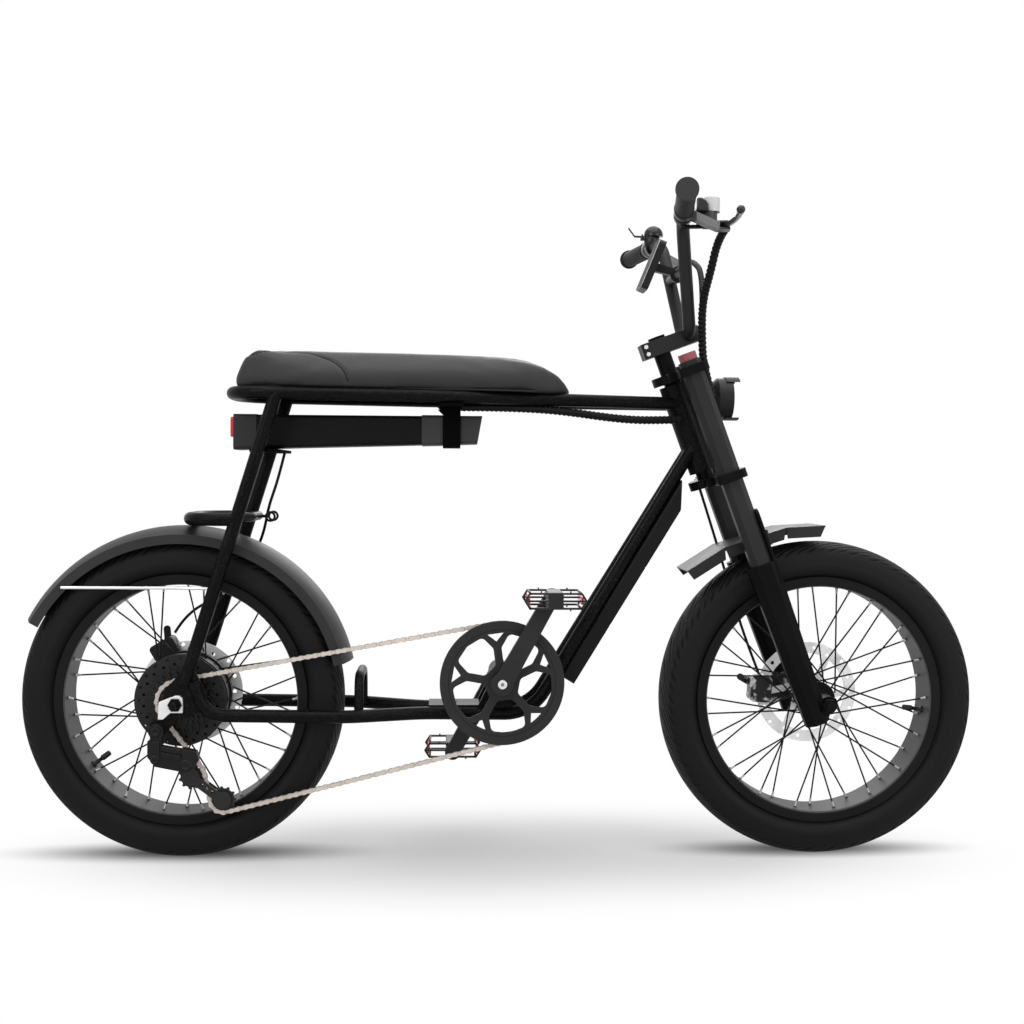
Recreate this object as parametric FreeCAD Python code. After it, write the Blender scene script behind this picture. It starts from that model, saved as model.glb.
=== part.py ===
import FreeCAD, Part
import math
import os

os.makedirs("parts", exist_ok=True)
Vec = FreeCAD.Vector

# A fat tyre electric bicycle with a bench seat, a twin tube frame and a dual crown fork.
# Millimetres, +X forward, +Y to the rider's left, +Z up, origin on the ground mid wheelbase.

# Wheels
wheelbase = 1100.0
tyre_radius = 275.0
tyre_width = 98.0
tyre_wall = 5.0
tyre_height = 61.0
rim_depth = 17.5
rim_width = 78.0
rim_wall = 3.5
spoke_count = 36
spoke_radius = 1.4
spoke_rim_y = 16.0
spoke_spread = 3.4
seat_gap = 0.3
short_share = 0.01
overrun = 5.0

# Front hub
front_axle_radius = 7.0
front_hub_radius = 17.0
front_flange_radius = 30.0
front_flange_y = 29.0
front_flange_thickness = 3.0
front_hub_half = 58.0
front_cross_angle = 60.0
front_rotor_y = 50.0

# Motor hub, rear axle and brake discs
rear_axle_radius = 6.0
rear_axle_half = 112.0
axle_nut_radius = 12.0
axle_nut_height = 10.0
motor_radius = 77.0
motor_half = 36.0
motor_rim_radius = 74.0
motor_rim_half = 26.0
motor_boss_radius = 30.0
rear_cross_angle = 20.0
protector_radius = 78.0
protector_thickness = 2.4
protector_holes = 20
protector_hole_radius = 2.6
rear_rotor_y = 56.0
rotor_radius = 90.0
rotor_ring_width = 20.0
rotor_thickness = 1.8
rotor_arm_count = 6
rotor_arm_width = 12.0
rotor_boss_radius = 26.0
rotor_hole_radius = 3.4
running_fit = 0.06

# Drive train
chain_pitch = 12.7
ring_teeth = 50
cog_teeth = (28, 24, 21, 18, 15, 13, 11)
driven_cog = 3
cog_spacing = 4.8
pulley_teeth = 11
chain_y = -60.0
roller_radius = 3.7
roller_half = 1.3
plate_thickness = 0.9
plate_gap = 0.15
plate_height = 8.2
plate_waist = 5.6
plate_end = 3.6
tooth_thickness = 1.9
tooth_rise = 3.0
tooth_root_gap = 0.5
freehub_radius = 17.0
bb_x = -4.0
bb_rise = 34.0
crank_length = 170.0
crank_angle = 60.8
crank_axle_radius = 8.5
crank_plane = 82.0
crank_thickness = 14.0
crank_boss_radius = 19.0
crank_eye_radius = 14.0
guard_radius = 106.0
guard_inner_radius = 86.0
guard_thickness = 4.0
guard_y = -70.0
guard_hub_radius = 31.0
guard_spoke_count = 5
guard_spoke_angle = 26.0
guard_spoke_width = 14.0
guard_window_corner = 9.0
pedal_length = 96.0
pedal_height = 28.0
pedal_width = 78.0
pedal_plate = 6.0
pedal_bar = 4.0
pedal_barrel_radius = 12.0
pedal_gap = 3.0
spindle_radius = 7.0
reflector_thickness = 4.0
reflector_height = 14.0

# Rear derailleur
hanger_x = -30.0
hanger_z = -43.0
guide_x = 22.0
guide_z = -126.0
tension_x = 75.0
tension_z = -165.0
cage_pivot_x = 20.0
cage_pivot_z = -99.0
cage_plate = 2.2
cage_half_gap = 6.2
cage_pivot_radius = 5.0
pulley_pin_radius = 3.0
knuckle_radius = 12.0
knuckle_drop = 46.0
derailleur_y = -92.0
derailleur_thickness = 16.0

# Frame tubes
tube_radius = 11.1
tube_wall = 2.0
stay_y = 80.0
rail_rear_x = -465.0
rail_rear_rise = 523.0
rail_head_rise = 40.8
rail_bend = 62.0
rail_flare_x = -120.0
rail_flare_bend = 400.0
twin_head_y = 13.5
seat_stay_top_x = -385.0
dropout_thickness = 6.0
chainstay_rise = 38.0
chainstay_rear_x = 46.0
chainstay_drop = 22.0
chainstay_bend = 45.0
pinch_rear_x = -265.0
pinch_front_x = -140.0
pinch_y = 33.0
pinch_bend = 150.0
knee_x = 47.0
knee_bend = 80.0
down_head_drop = 28.0
bb_shell_radius = 21.0
bb_shell_half = 50.0
bb_web_thickness = 8.0
kick_plate_x = -85.0
kick_plate_length = 88.0
kick_plate_thickness = 4.0
kick_bore_radius = 5.5
hoop_x = -247.0
hoop_rise = 65.0
hoop_half = 52.0
hoop_bend = 26.0
hoop_radius = 8.0
rear_hoop_clearance = 12.5
rear_hoop_reach = 15.0
rear_hoop_bend = 50.0
bridge_clearance = 16.0
bridge_radius = 8.0
cable_ring_radius = 7.4
cable_ring_wire = 2.0
cable_ring_reach = 20.5
cable_ring_y = 19.4

# Steering head and dual crown fork
head_tilt = 20.3
leg_offset = 25.0
axle_offset = 50.0
tyre_clearance = 247.0
head_radius = 25.0
head_bore = 17.5
head_half = 80.0
bearing_radius = 21.0
bearing_height = 16.0
steerer_radius = 15.0
steerer_top = 168.0
crown_top = 92.0
crown_low = 100.0
crown_thickness = 15.0
crown_boss_radius = 33.0
crown_clamp_half = 26.0
crown_web_front = 38.0
crown_web_rear = 12.0
leg_y = 80.0
leg_size = 36.0
leg_bevel = 9.0
leg_wall = 3.0
leg_top = 108.0
leg_foot_rise = 77.0
leg_cap = 4.0
knob_radius = 15.5
knob_height = 13.0
knob_pin_radius = 4.0
slider_gap = 11.0
slider_fall = 26.0
slider_top_depth = 52.0
slider_low_depth = 41.0
slider_width = 42.0
slider_corner = 13.0
slider_floor = 42.0
slide_gap = 0.4
guard_tongue_reach = 81.0
guard_tongue_width = 30.0
guard_tongue_thickness = 5.0
lug_radius = 15.0
lug_half = 17.0
fork_travel = 50.0

# Cockpit
stem_low = 136.0
stem_height = 27.0
stem_half = 26.0
stem_rear = 34.0
stem_front = 72.0
bar_clamp_n = 50.0
stem_slot = 3.0
stem_bolt_radius = 3.5
stem_bolt_height = 4.0
bar_radius = 11.0
bar_wall = 2.2
bar_base_half = 34.0
bar_bend_low = 30.0
bar_bend_top = 50.0
bar_corner_back = 33.0
bar_corner_y = 110.0
bar_corner_rise = 338.8
grip_end_back = 63.0
grip_end_y = 324.0
grip_end_rise = 344.8
grip_length = 128.0
grip_radius = 15.5
grip_flange_radius = 18.0
grip_flange_width = 6.0
crossbar_share = 0.6
crossbar_radius = 9.0
display_height = 90.0
display_width = 64.0
display_thickness = 14.0
display_corner = 9.0
display_lean = 22.0
display_back = 46.0
display_rise = 14.0
display_arm_width = 16.0
clamp_thickness = 5.0
clamp_width = 14.0
lever_station = 143.0
lever_reach = 73.5
lever_drop = 25.0
lever_root_drop = 4.0
lever_fork_length = 22.0
lever_arm_height = 14.0
lever_arm_width = 24.0
lever_pin_radius = 3.0
lever_blade_length = 118.0
lever_blade_width = 9.0
lever_blade_thickness = 7.0
lever_ball_radius = 6.0
lever_eye_radius = 8.0
adjuster_radius = 5.0
adjuster_length = 16.0
shifter_station = 173.0
shifter_radius = 17.0
shifter_height = 20.0
shifter_forward = 38.0
drum_radius = 14.0
drum_height = 23.0
shift_lever_length = 36.0
shift_lever_width = 9.0
shift_lever_thickness = 5.0
bell_station = 163.0
bell_radius = 18.0
bell_height = 22.0
bell_wall = 1.8
bell_rise = 12.0
striker_radius = 1.6
striker_length = 30.0

# Headlight
light_radius = 36.0
light_length = 46.0
light_gap = 44.0
light_t = 38.0
light_wall = 3.0
light_back_radius = 18.0
light_strap_width = 26.0
light_strap_thickness = 4.0
visor_length = 12.0
visor_thickness = 2.0
lens_thickness = 4.0

# Seat
seat_rear_x = -455.0
seat_front_x = 106.0
seat_height = 63.0
seat_half = 104.0
seat_base_inset = 14.0
seat_base_thickness = 2.5
seat_base_corner = 60.0
seam_x = -335.0
seam_run = 66.0
seam_width = 2.2
seam_depth = 3.0

# Battery, cradle and controller
battery_rear_x = -462.0
battery_case_x = -423.0
battery_sleeve_x = -143.0
battery_strap_x = -107.0
battery_strap_width = 30.0
battery_front_x = -39.0
battery_gap = 30.5
battery_rear_height = 58.0
battery_front_height = 46.0
battery_half = 42.0
battery_corner = 7.0
battery_nose_lean = 12.0
sleeve_proud = 1.5
strap_wall = 5.0
strap_flange_half = 86.0
strap_gusset = 10.0
cradle_plate_length = 51.0
cradle_plate_reach = 36.0
light_strip_height = 34.0
light_strip_drop = 21.0
light_strip_half = 34.0
light_strip_thickness = 6.0
controller_slant = 46.0
controller_thickness = 26.0
controller_half = 34.0
controller_corner = 4.0

# Mudguards
rear_guard_gap = 22.0
rear_guard_half = 55.0
rear_guard_crown = 14.0
rear_guard_flange = 16.0
sheet = 2.2
rear_guard_start = 13.0
rear_guard_sweep = 139.0
guard_rod_radius = 2.6
guard_rod_angle = 135.5
front_guard_half = 55.0
front_guard_flange = 19.0
front_guard_bridge = 4.0
front_guard_bridge_height = 27.0
front_guard_bridge_gap = 15.0
front_guard_bridge_half = 92.0

# Brakes
caliper_inner = 66.0
caliper_outer = 104.0
caliper_half = 23.0
caliper_cheek = 14.0
disc_gap = 1.0
front_caliper_angle = 176.0
rear_caliper_angle = 121.0
caliper_lug = 20.0
brake_pin_radius = 4.0
brake_arm_length = 36.0
brake_arm_width = 12.0
brake_arm_thickness = 4.0

# Cable bundles
loom_radius = 6.0
cable_radius = 2.5
left_strand_radius = 4.5
frame_loom_radius = 5.0


def bend_path(points, bends):
    edges = []
    start = points[0]
    for before, corner, after, bend in zip(points, points[1:], points[2:], bends):
        to_before = (before - corner).normalize()
        to_after = (after - corner).normalize()
        half = to_before.getAngle(to_after) / 2
        reach = bend / math.tan(half)
        enter = corner + to_before * reach
        leave = corner + to_after * reach
        inward = (to_before + to_after).normalize()
        middle = corner + inward * (bend / math.sin(half) - bend)
        if (enter - start).Length > seat_gap * short_share:
            edges.append(Part.LineSegment(start, enter).toShape())
        edges.append(Part.Arc(enter, middle, leave).toShape())
        start = leave
    edges.append(Part.LineSegment(start, points[-1]).toShape())
    return Part.Wire(edges)


def rod(points, bends, radius):
    path = bend_path(points, bends)
    ring = Part.Wire(Part.makeCircle(radius, points[0], points[1] - points[0]))
    return path.makePipeShell([ring], True, False)


def tube(points, bends, radius, wall):
    return rod(points, bends, radius).cut(rod(points, bends, radius - wall))


def stick(start, end, radius):
    return Part.makeCylinder(radius, (end - start).Length, start, end - start)


def block(x_low, x_high, y_low, y_high, z_low, z_high):
    size = (x_high - x_low, y_high - y_low, z_high - z_low)
    return Part.makeBox(*size, Vec(x_low, y_low, z_low))


def across(radius, y_low, y_high, x=0, z=0):
    return Part.makeCylinder(radius, y_high - y_low, Vec(x, y_low, z), Vec(0, 1, 0))


def washer(radius, bore, y_low, y_high, x=0, z=0):
    return across(radius, y_low, y_high, x, z).cut(across(bore, y_low, y_high, x, z))


def prism(outline, y_low, y_high):
    points = [Vec(x, y_low, z) for x, z in outline]
    face = Part.Face(Part.makePolygon(points + points[:1]))
    return face.extrude(Vec(0, y_high - y_low, 0))


def polar(radius, degrees):
    turn = math.radians(degrees)
    return radius * math.cos(turn), radius * math.sin(turn)


def round_edges(shape, direction, radius):
    edges = [edge for edge in shape.Edges if runs_along(edge, direction)]
    return shape.makeFillet(radius, edges)


def runs_along(edge, direction):
    if not isinstance(edge.Curve, Part.Line):
        return False
    return abs(abs(edge.Curve.Direction.dot(direction)) - 1) < 1e-6


def spin(points_and_arcs):
    face = Part.Face(Part.Wire(points_and_arcs))
    return face.revolve(Vec(0, 0, 0), Vec(0, 1, 0), 360)


def profile(points):
    corners = [Vec(radius, y, 0) for radius, y in points]
    return Part.Face(Part.makePolygon(corners + corners[:1]))


def turned(points):
    return profile(points).revolve(Vec(0, 0, 0), Vec(0, 1, 0), 360)


def mirrored(shape):
    return shape.mirror(Vec(0, 0, 0), Vec(0, 1, 0))


def pair(shape):
    return Part.makeCompound([shape, mirrored(shape)])


def fuse(shapes):
    return shapes[0].fuse(list(shapes[1:])).removeSplitter()


def rotated(shape, degrees):
    copy = shape.copy()
    copy.rotate(Vec(0, 0, 0), Vec(0, -1, 0), degrees)
    return copy


def moved(shape, x, y, z):
    copy = shape.copy()
    copy.translate(Vec(x, y, z))
    return copy


# Places that more than one piece shares
axle_z = tyre_radius
rear_x = -wheelbase / 2
front_x = wheelbase / 2
rim_flange_radius = tyre_radius - tyre_height
rim_inner_radius = rim_flange_radius - rim_depth
axle_drop = tyre_radius + tyre_clearance
leg_bottom = axle_drop - leg_foot_rise
slider_top = tyre_clearance + slider_gap
slider_bottom = axle_drop + slider_fall
guard_tongue_top = tyre_clearance - guard_tongue_reach
rear_guard_radius = tyre_radius + rear_guard_gap
front_guard_bridge_t = axle_drop - tyre_radius - front_guard_bridge_gap
rear_hoop_x = rear_x + rear_hoop_reach
rear_hoop_z = axle_z + rear_guard_radius + rear_hoop_clearance
bridge_z = axle_z + rear_guard_radius + bridge_clearance
bb_z = axle_z + bb_rise
chainstay_z = axle_z - chainstay_drop
hoop_top_z = chainstay_z + hoop_rise
rail_rear_z = axle_z + rail_rear_rise
tilt = math.radians(head_tilt)
head_up = Vec(-math.sin(tilt), 0, math.cos(tilt))
head_forward = Vec(math.cos(tilt), 0, math.sin(tilt))
head_origin = Vec(front_x, 0, axle_z) + head_up * axle_drop - head_forward * axle_offset
rail_head_z = head_origin.z + rail_head_rise
bar_corner = head_origin + Vec(-bar_corner_back, -bar_corner_y, bar_corner_rise)
grip_end = head_origin + Vec(-grip_end_back, -grip_end_y, grip_end_rise)
fork_frame = FreeCAD.Placement(head_origin, FreeCAD.Rotation(Vec(0, 1, 0), -head_tilt))


def in_fork(shape):
    placed = shape.copy()
    placed.Placement = fork_frame.multiply(placed.Placement)
    return placed


def fork_point(n, y, t):
    return head_origin + head_forward * n + Vec(0, y, 0) + head_up * t


def head_x_at(z):
    return head_origin.x - (z - head_origin.z) * math.tan(tilt)


# Tyres and rims
def tyre():
    bead_half = rim_width / 2 - rim_wall
    seat = rim_inner_radius + rim_wall
    rise = tyre_radius - rim_flange_radius
    side = rim_flange_radius + rise * side_share
    shoulder = rim_flange_radius + rise * shoulder_share
    half = tyre_width / 2
    shoulder_half = half * shoulder_width_share
    edge = rim_flange_radius + rim_wall / 2
    low_r = (edge + side) / 2 - rise * bulge_low_share
    high_r = (side + shoulder) / 2 + rise * bulge_high_share
    bulge_low = Vec(low_r, bead_half + (half - bead_half) * bulge_share, 0)
    bulge_high = Vec(high_r, (half + shoulder_half) / 2 + half * bulge_wide_share, 0)

    def line(a, b):
        return Part.LineSegment(a, b).toShape()

    def arc(a, b, c):
        return Part.Arc(a, b, c).toShape()

    def flip(point):
        return Vec(point.x, -point.y, 0)

    def inward(point):
        return point - Vec(tyre_wall * wall_lean_share, tyre_wall, 0)

    bead = Vec(seat, bead_half, 0)
    lip = Vec(edge, bead_half, 0)
    wide = Vec(side, half, 0)
    top = Vec(shoulder, shoulder_half, 0)
    crown = Vec(tyre_radius, 0, 0)
    crown_in = Vec(tyre_radius - tyre_wall, 0, 0)
    bead_in = bead - Vec(0, tyre_wall, 0)
    lip_in = lip - Vec(0, tyre_wall, 0)
    wide_in = wide - Vec(0, tyre_wall, 0)
    top_in = top - Vec(tyre_wall, tyre_wall / 2, 0)
    mid_low = bulge_low - Vec(0, tyre_wall, 0)
    mid_high = inward(bulge_high)
    outer = [line(bead, lip), arc(lip, bulge_low, wide), arc(wide, bulge_high, top)]
    outer += [arc(top, crown, flip(top))]
    outer += [arc(flip(top), flip(bulge_high), flip(wide)), arc(flip(wide), flip(bulge_low), flip(lip))]
    outer += [line(flip(lip), flip(bead)), line(flip(bead), flip(bead_in))]
    outer += [line(flip(bead_in), flip(lip_in))]
    inner = [arc(flip(lip_in), flip(mid_low), flip(wide_in))]
    inner += [arc(flip(wide_in), flip(mid_high), flip(top_in)), arc(flip(top_in), crown_in, top_in)]
    inner += [arc(top_in, mid_high, wide_in), arc(wide_in, mid_low, lip_in)]
    inner += [line(lip_in, bead_in), line(bead_in, bead)]
    return spin(outer + inner)


side_share = 0.42
shoulder_share = 0.83
shoulder_width_share = 0.8
bulge_share = 0.78
bulge_low_share = 0.083
bulge_high_share = 0.05
bulge_wide_share = 0.025
wall_lean_share = 0.6


def rim():
    half = rim_width / 2
    seat = rim_inner_radius + rim_wall
    inside = half - rim_wall
    low = rim_inner_radius
    high = rim_flange_radius
    return turned([
        (low, -half + rim_wall), (low, half - rim_wall), (low + rim_wall, half), (high, half),
        (high, inside), (seat, inside), (seat, -inside), (high, -inside), (high, -half),
        (low + rim_wall, -half),
    ])


def spokes(hub_radius, flange_y, cross_angle):
    wires = []
    step = 360 / spoke_count
    start = hub_radius + spoke_radius + seat_gap / 2
    end = rim_inner_radius - seat_gap * 2
    for index in range(spoke_count):
        side = 1 if index % 2 else -1
        lean = 1 if index % 4 < 2 else -1
        rim_angle = index * step
        hub_angle = rim_angle - lean * cross_angle
        hub_y = side * (flange_y + lean * spoke_spread / 2)
        rim_y = side * (spoke_rim_y + lean * spoke_spread / 2)
        hub_spot = polar(start, hub_angle)
        rim_spot = polar(end, rim_angle)
        inner_end = Vec(hub_spot[0], hub_y, hub_spot[1])
        outer_end = Vec(rim_spot[0], rim_y, rim_spot[1])
        wires.append(stick(inner_end, outer_end, spoke_radius))
    return Part.makeCompound(wires)


def front_hub():
    bore = front_axle_radius + running_fit
    flange_out = front_flange_y + front_flange_thickness / 2
    flange_in = front_flange_y - front_flange_thickness / 2
    nose = front_axle_radius * 2
    seat = front_rotor_y - rotor_thickness / 2
    half = [
        (front_hub_radius, 0), (front_hub_radius, flange_in), (front_flange_radius, flange_in),
        (front_flange_radius, flange_out), (front_hub_radius, flange_out), (front_hub_radius, seat),
        (nose, seat), (nose, front_hub_half), (bore, front_hub_half),
    ]
    return turned(half + [(radius, -y) for radius, y in reversed(half)])


def motor_hub():
    bore = rear_axle_radius + running_fit
    cog_end = chain_y - cog_spacing * (len(cog_teeth) - 1 - driven_cog) - tooth_thickness
    seat = rear_rotor_y - rotor_thickness / 2
    boss = motor_boss_radius
    step = motor_radius * motor_step_share
    body = turned([
        (bore, cog_end), (freehub_radius, cog_end), (freehub_radius, -motor_half - tooth_thickness),
        (boss, -motor_half - tooth_thickness), (boss, -motor_half), (step, -motor_half),
        (motor_rim_radius, -motor_rim_half), (motor_radius, -motor_rim_half), (motor_radius, -spoke_rim_y),
        (motor_rim_radius, -spoke_rim_y), (motor_rim_radius, spoke_rim_y), (motor_radius, spoke_rim_y),
        (motor_radius, motor_rim_half), (motor_rim_radius, motor_rim_half), (step, motor_half),
        (boss, motor_half),
        (boss, seat), (rear_axle_radius * 2, seat), (rear_axle_radius * 2, rear_rotor_y + rotor_thickness),
        (bore, rear_rotor_y + rotor_thickness),
    ])
    return fuse([body, spoke_protector()])


motor_step_share = 0.86


def spoke_protector():
    high = chain_y + driven_cog * cog_spacing + tooth_thickness + seat_gap
    disc = washer(protector_radius, freehub_radius - seat_gap, high, high + protector_thickness)
    holes = []
    for ring, share in enumerate(protector_ring_shares):
        for index in range(protector_holes):
            turn = (index + ring / len(protector_ring_shares)) * 360 / protector_holes
            spot = polar(protector_radius * share, turn)
            holes.append(across(protector_hole_radius, high - overrun, high + overrun, *spot))
    return disc.cut(holes)


protector_ring_shares = (0.91, 0.8)


def brake_disc(y, bore):
    low = y - rotor_thickness / 2
    high = y + rotor_thickness / 2
    ring_low = rotor_radius - rotor_ring_width
    disc = washer(rotor_radius, ring_low, low, high)
    boss = washer(rotor_boss_radius, bore, low, high)
    arms = []
    holes = []
    step = 360 / rotor_arm_count
    reach = ring_low + rotor_ring_width / 4
    for index in range(rotor_arm_count):
        start = polar(rotor_boss_radius * arm_root_share, index * step - step / 2)
        end = polar(reach, index * step)
        along = Vec(end[0] - start[0], 0, end[1] - start[1])
        side = Vec(along.z, 0, -along.x).normalize() * (rotor_arm_width / 2)
        corners = [(start[0] + side.x, start[1] + side.z), (end[0] + side.x, end[1] + side.z)]
        corners += [(end[0] - side.x, end[1] - side.z), (start[0] - side.x, start[1] - side.z)]
        arms.append(prism(corners, low, high))
        for slot, share in enumerate(rotor_hole_shares):
            turn = (index + slot / len(rotor_hole_shares)) * step
            spot = polar(ring_low + rotor_ring_width * share, turn)
            holes.append(across(rotor_hole_radius, low - overrun, high + overrun, *spot))
    return fuse([disc, boss] + arms).cut(holes)


arm_root_share = 0.8
rotor_hole_shares = (0.3, 0.52, 0.74)


# Toothed wheels and the chain
def pitch_radius(teeth):
    return chain_pitch / (2 * math.sin(math.pi / teeth))


def toothed(teeth, phase, y, bore):
    step = 360 / teeth
    root = pitch_radius(teeth) - roller_radius - tooth_root_gap
    tip = pitch_radius(teeth) + tooth_rise
    outline = []
    for index in range(teeth):
        middle = phase + (index + 1 / 2) * step
        for radius, share in ((root, -root_share), (tip, -tip_share), (tip, tip_share), (root, root_share)):
            outline.append(polar(radius, middle + share * step))
    plate = prism(outline, y - tooth_thickness / 2, y + tooth_thickness / 2)
    return plate.cut(across(bore, y - overrun, y + overrun))


root_share = 0.25
tip_share = 0.06

ring_centre = (bb_x, bb_z)
cog_centre = (rear_x, axle_z)
guide_centre = (rear_x + guide_x, axle_z + guide_z)
tension_centre = (rear_x + tension_x, axle_z + tension_z)
# centre, teeth, and the sense in which the chain goes round
chain_wheels = (
    (ring_centre, ring_teeth, 1), (tension_centre, pulley_teeth, 1),
    (guide_centre, pulley_teeth, -1), (cog_centre, cog_teeth[driven_cog], 1),
)


def chain_stretches():
    count = len(chain_wheels)
    headings = []
    for index in range(count):
        (ax, az), a_teeth, a_sense = chain_wheels[index]
        (bx, bz), b_teeth, b_sense = chain_wheels[(index + 1) % count]
        apart = math.hypot(bx - ax, bz - az)
        offset = pitch_radius(a_teeth) * a_sense - pitch_radius(b_teeth) * b_sense
        headings.append(math.atan2(bz - az, bx - ax) - math.asin(offset / apart))
    stretches = []
    for index in range(count):
        (cx, cz), teeth, sense = chain_wheels[index]
        radius = pitch_radius(teeth)
        enter = headings[index - 1] + sense * math.pi / 2
        turn = (sense * (headings[index - 1] - headings[index])) % (2 * math.pi)
        stretches.append(("wrap", (cx, cz, radius, enter, sense, turn), turn * teeth / (2 * math.pi)))
        leave = enter - sense * turn
        start = (cx + radius * math.cos(leave), cz + radius * math.sin(leave))
        (nx, nz), next_teeth, next_sense = chain_wheels[(index + 1) % count]
        arrive = headings[index] + next_sense * math.pi / 2
        reach = pitch_radius(next_teeth)
        end = (nx + reach * math.cos(arrive), nz + reach * math.sin(arrive))
        stretches.append(("run", (start, end), math.dist(start, end) / chain_pitch))
    return stretches


def chain_pins():
    stretches = chain_stretches()
    total = sum(length for kind, data, length in stretches)
    links = 2 * round(total / 2)
    pins = []
    for index in range(links):
        left = index * total / links
        for kind, data, length in stretches:
            if left < length:
                break
            left -= length
        share = left / length
        if kind == "wrap":
            cx, cz, radius, enter, sense, turn = data
            angle = enter - sense * turn * share
            pins.append((cx + radius * math.cos(angle), cz + radius * math.sin(angle)))
        else:
            (sx, sz), (ex, ez) = data
            pins.append((sx + (ex - sx) * share, sz + (ez - sz) * share))
    print("chain links", links, "pitch", round(chain_pitch * total / links, 3))
    return pins


pins = chain_pins()


def tooth_phase(centre, teeth):
    near = [pin for pin in pins if abs(math.dist(pin, centre) - pitch_radius(teeth)) < roller_radius / 4]
    spot = near[len(near) // 2]
    return math.degrees(math.atan2(spot[1] - centre[1], spot[0] - centre[0]))


def chain():
    solids = []
    half = chain_pitch / 2
    top = plate_height / 2
    waist = plate_waist / 2
    end = half + plate_end
    corner = plate_height * plate_corner_share
    outline = [(-end, -corner), (-half, -top), (0, -waist), (half, -top), (end, -corner)]
    outline += [(-x, -z) for x, z in outline]
    for index, pin in enumerate(pins):
        after = pins[(index + 1) % len(pins)]
        angle = math.degrees(math.atan2(after[1] - pin[1], after[0] - pin[0]))
        centre = ((pin[0] + after[0]) / 2, (pin[1] + after[1]) / 2)
        inset = roller_half + (index % 2) * (plate_thickness + plate_gap)
        for side in (-1, 1):
            near = side * inset
            far = side * (inset + plate_thickness)
            plate = prism(outline, min(near, far), max(near, far))
            solids.append(moved(rotated(plate, angle), centre[0], chain_y, centre[1]))
        hexagon = [polar(roller_radius, angle + 60 * corner_index) for corner_index in range(6)]
        roller = prism(hexagon, -roller_half, roller_half)
        solids.append(moved(roller, pin[0], chain_y, pin[1]))
    return Part.makeCompound(solids)


plate_corner_share = 0.3


def cassette():
    cogs = []
    bore = freehub_radius + running_fit
    for index, teeth in enumerate(cog_teeth):
        y = chain_y + (driven_cog - index) * cog_spacing
        phase = tooth_phase(cog_centre, teeth) if index == driven_cog else 0
        cogs.append(toothed(teeth, phase, y, bore))
        spacer_low = y - cog_spacing + tooth_thickness / 2
        last = index == len(cog_teeth) - 1
        spacer_low = y - tooth_thickness if last else spacer_low
        spacer = washer(freehub_radius + spacer_wall, bore, spacer_low, y - tooth_thickness / 2)
        cogs.append(spacer)
    return moved(fuse(cogs), rear_x, 0, axle_z)


spacer_wall = 4.0


def rotated_spot(along, aside, degrees):
    ahead = polar(along, degrees)
    side = polar(aside, degrees + 90)
    return (ahead[0] + side[0], ahead[1] + side[1])


def guard_window(arm, low, high):
    step = 360 / guard_spoke_count
    half = guard_spoke_width / 2
    fork_radius = guard_inner_radius * fork_share
    turn = step / 2 * window_share
    middle = arm + step / 2
    outline = [rotated_spot(guard_hub_radius, half, arm), rotated_spot(fork_radius, half, arm)]
    outline += [polar(guard_inner_radius * lip_share, middle - turn), polar(guard_inner_radius, middle)]
    outline += [polar(guard_inner_radius * lip_share, middle + turn)]
    outline += [rotated_spot(fork_radius, -half, arm + step)]
    outline += [rotated_spot(guard_hub_radius, -half, arm + step)]
    return round_edges(prism(outline, low, high), Vec(0, 1, 0), guard_window_corner)


def guard_notch(arm, low, high):
    wide = 360 / guard_spoke_count * notch_share / 2
    outline = [polar(guard_inner_radius * small_share, arm)]
    outline += [polar(guard_inner_radius, arm - wide), polar(guard_inner_radius, arm + wide)]
    return prism(outline, low, high)


def chainring():
    low = guard_y - guard_thickness / 2
    high = guard_y + guard_thickness / 2
    disc = washer(guard_radius, crank_boss_radius + seat_gap, low, high)
    cuts = []
    bosses = []
    for index in range(guard_spoke_count):
        arm = guard_spoke_angle + index * 360 / guard_spoke_count
        cuts.append(guard_window(arm, low - overrun, high + overrun))
        cuts.append(guard_notch(arm, low - overrun, high + overrun))
        spot = polar(guard_inner_radius + roller_radius, arm)
        bosses.append(across(roller_radius, high, chain_y - tooth_thickness / 2, *spot))
    phase = tooth_phase(ring_centre, ring_teeth)
    teeth = toothed(ring_teeth, phase, chain_y, guard_inner_radius)
    return moved(fuse([disc.cut(cuts), teeth] + bosses), bb_x, 0, bb_z)


fork_share = 0.7
window_share = 0.56
lip_share = 0.985
small_share = 0.83
notch_share = 0.26


def crank_set():
    eye = polar(crank_length, crank_angle)
    half_wide = crank_boss_radius * crank_root_share
    half_slim = crank_eye_radius * crank_tip_share
    aside = polar(half_wide, crank_angle + 90)
    slim = polar(half_slim, crank_angle + 90)
    outline = [(aside[0], aside[1]), (-aside[0], -aside[1])]
    outline += [(eye[0] - slim[0], eye[1] - slim[1]), (eye[0] + slim[0], eye[1] + slim[1])]
    near = -crank_plane - crank_thickness / 2
    far = -crank_plane + crank_thickness / 2
    inner_face = guard_y + guard_thickness
    arm = fuse([
        prism(outline, near, far), across(crank_boss_radius, near, inner_face),
        across(crank_eye_radius, near, far, *eye),
    ])
    spindle_end = near - pedal_gap - pedal_width
    spindle = across(spindle_radius, spindle_end, near, *eye)
    cap = across(crank_axle_radius * bolt_cap_share, near - bolt_proud, near)
    right = fuse([arm, spindle, cap])
    left = mirrored(rotated(right, 180))
    axle = across(crank_axle_radius, inner_face, -inner_face)
    return moved(fuse([right, axle, left]), bb_x, 0, bb_z)


crank_root_share = 0.84
crank_tip_share = 0.92
bolt_cap_share = 0.9
bolt_proud = 1.5


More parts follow.
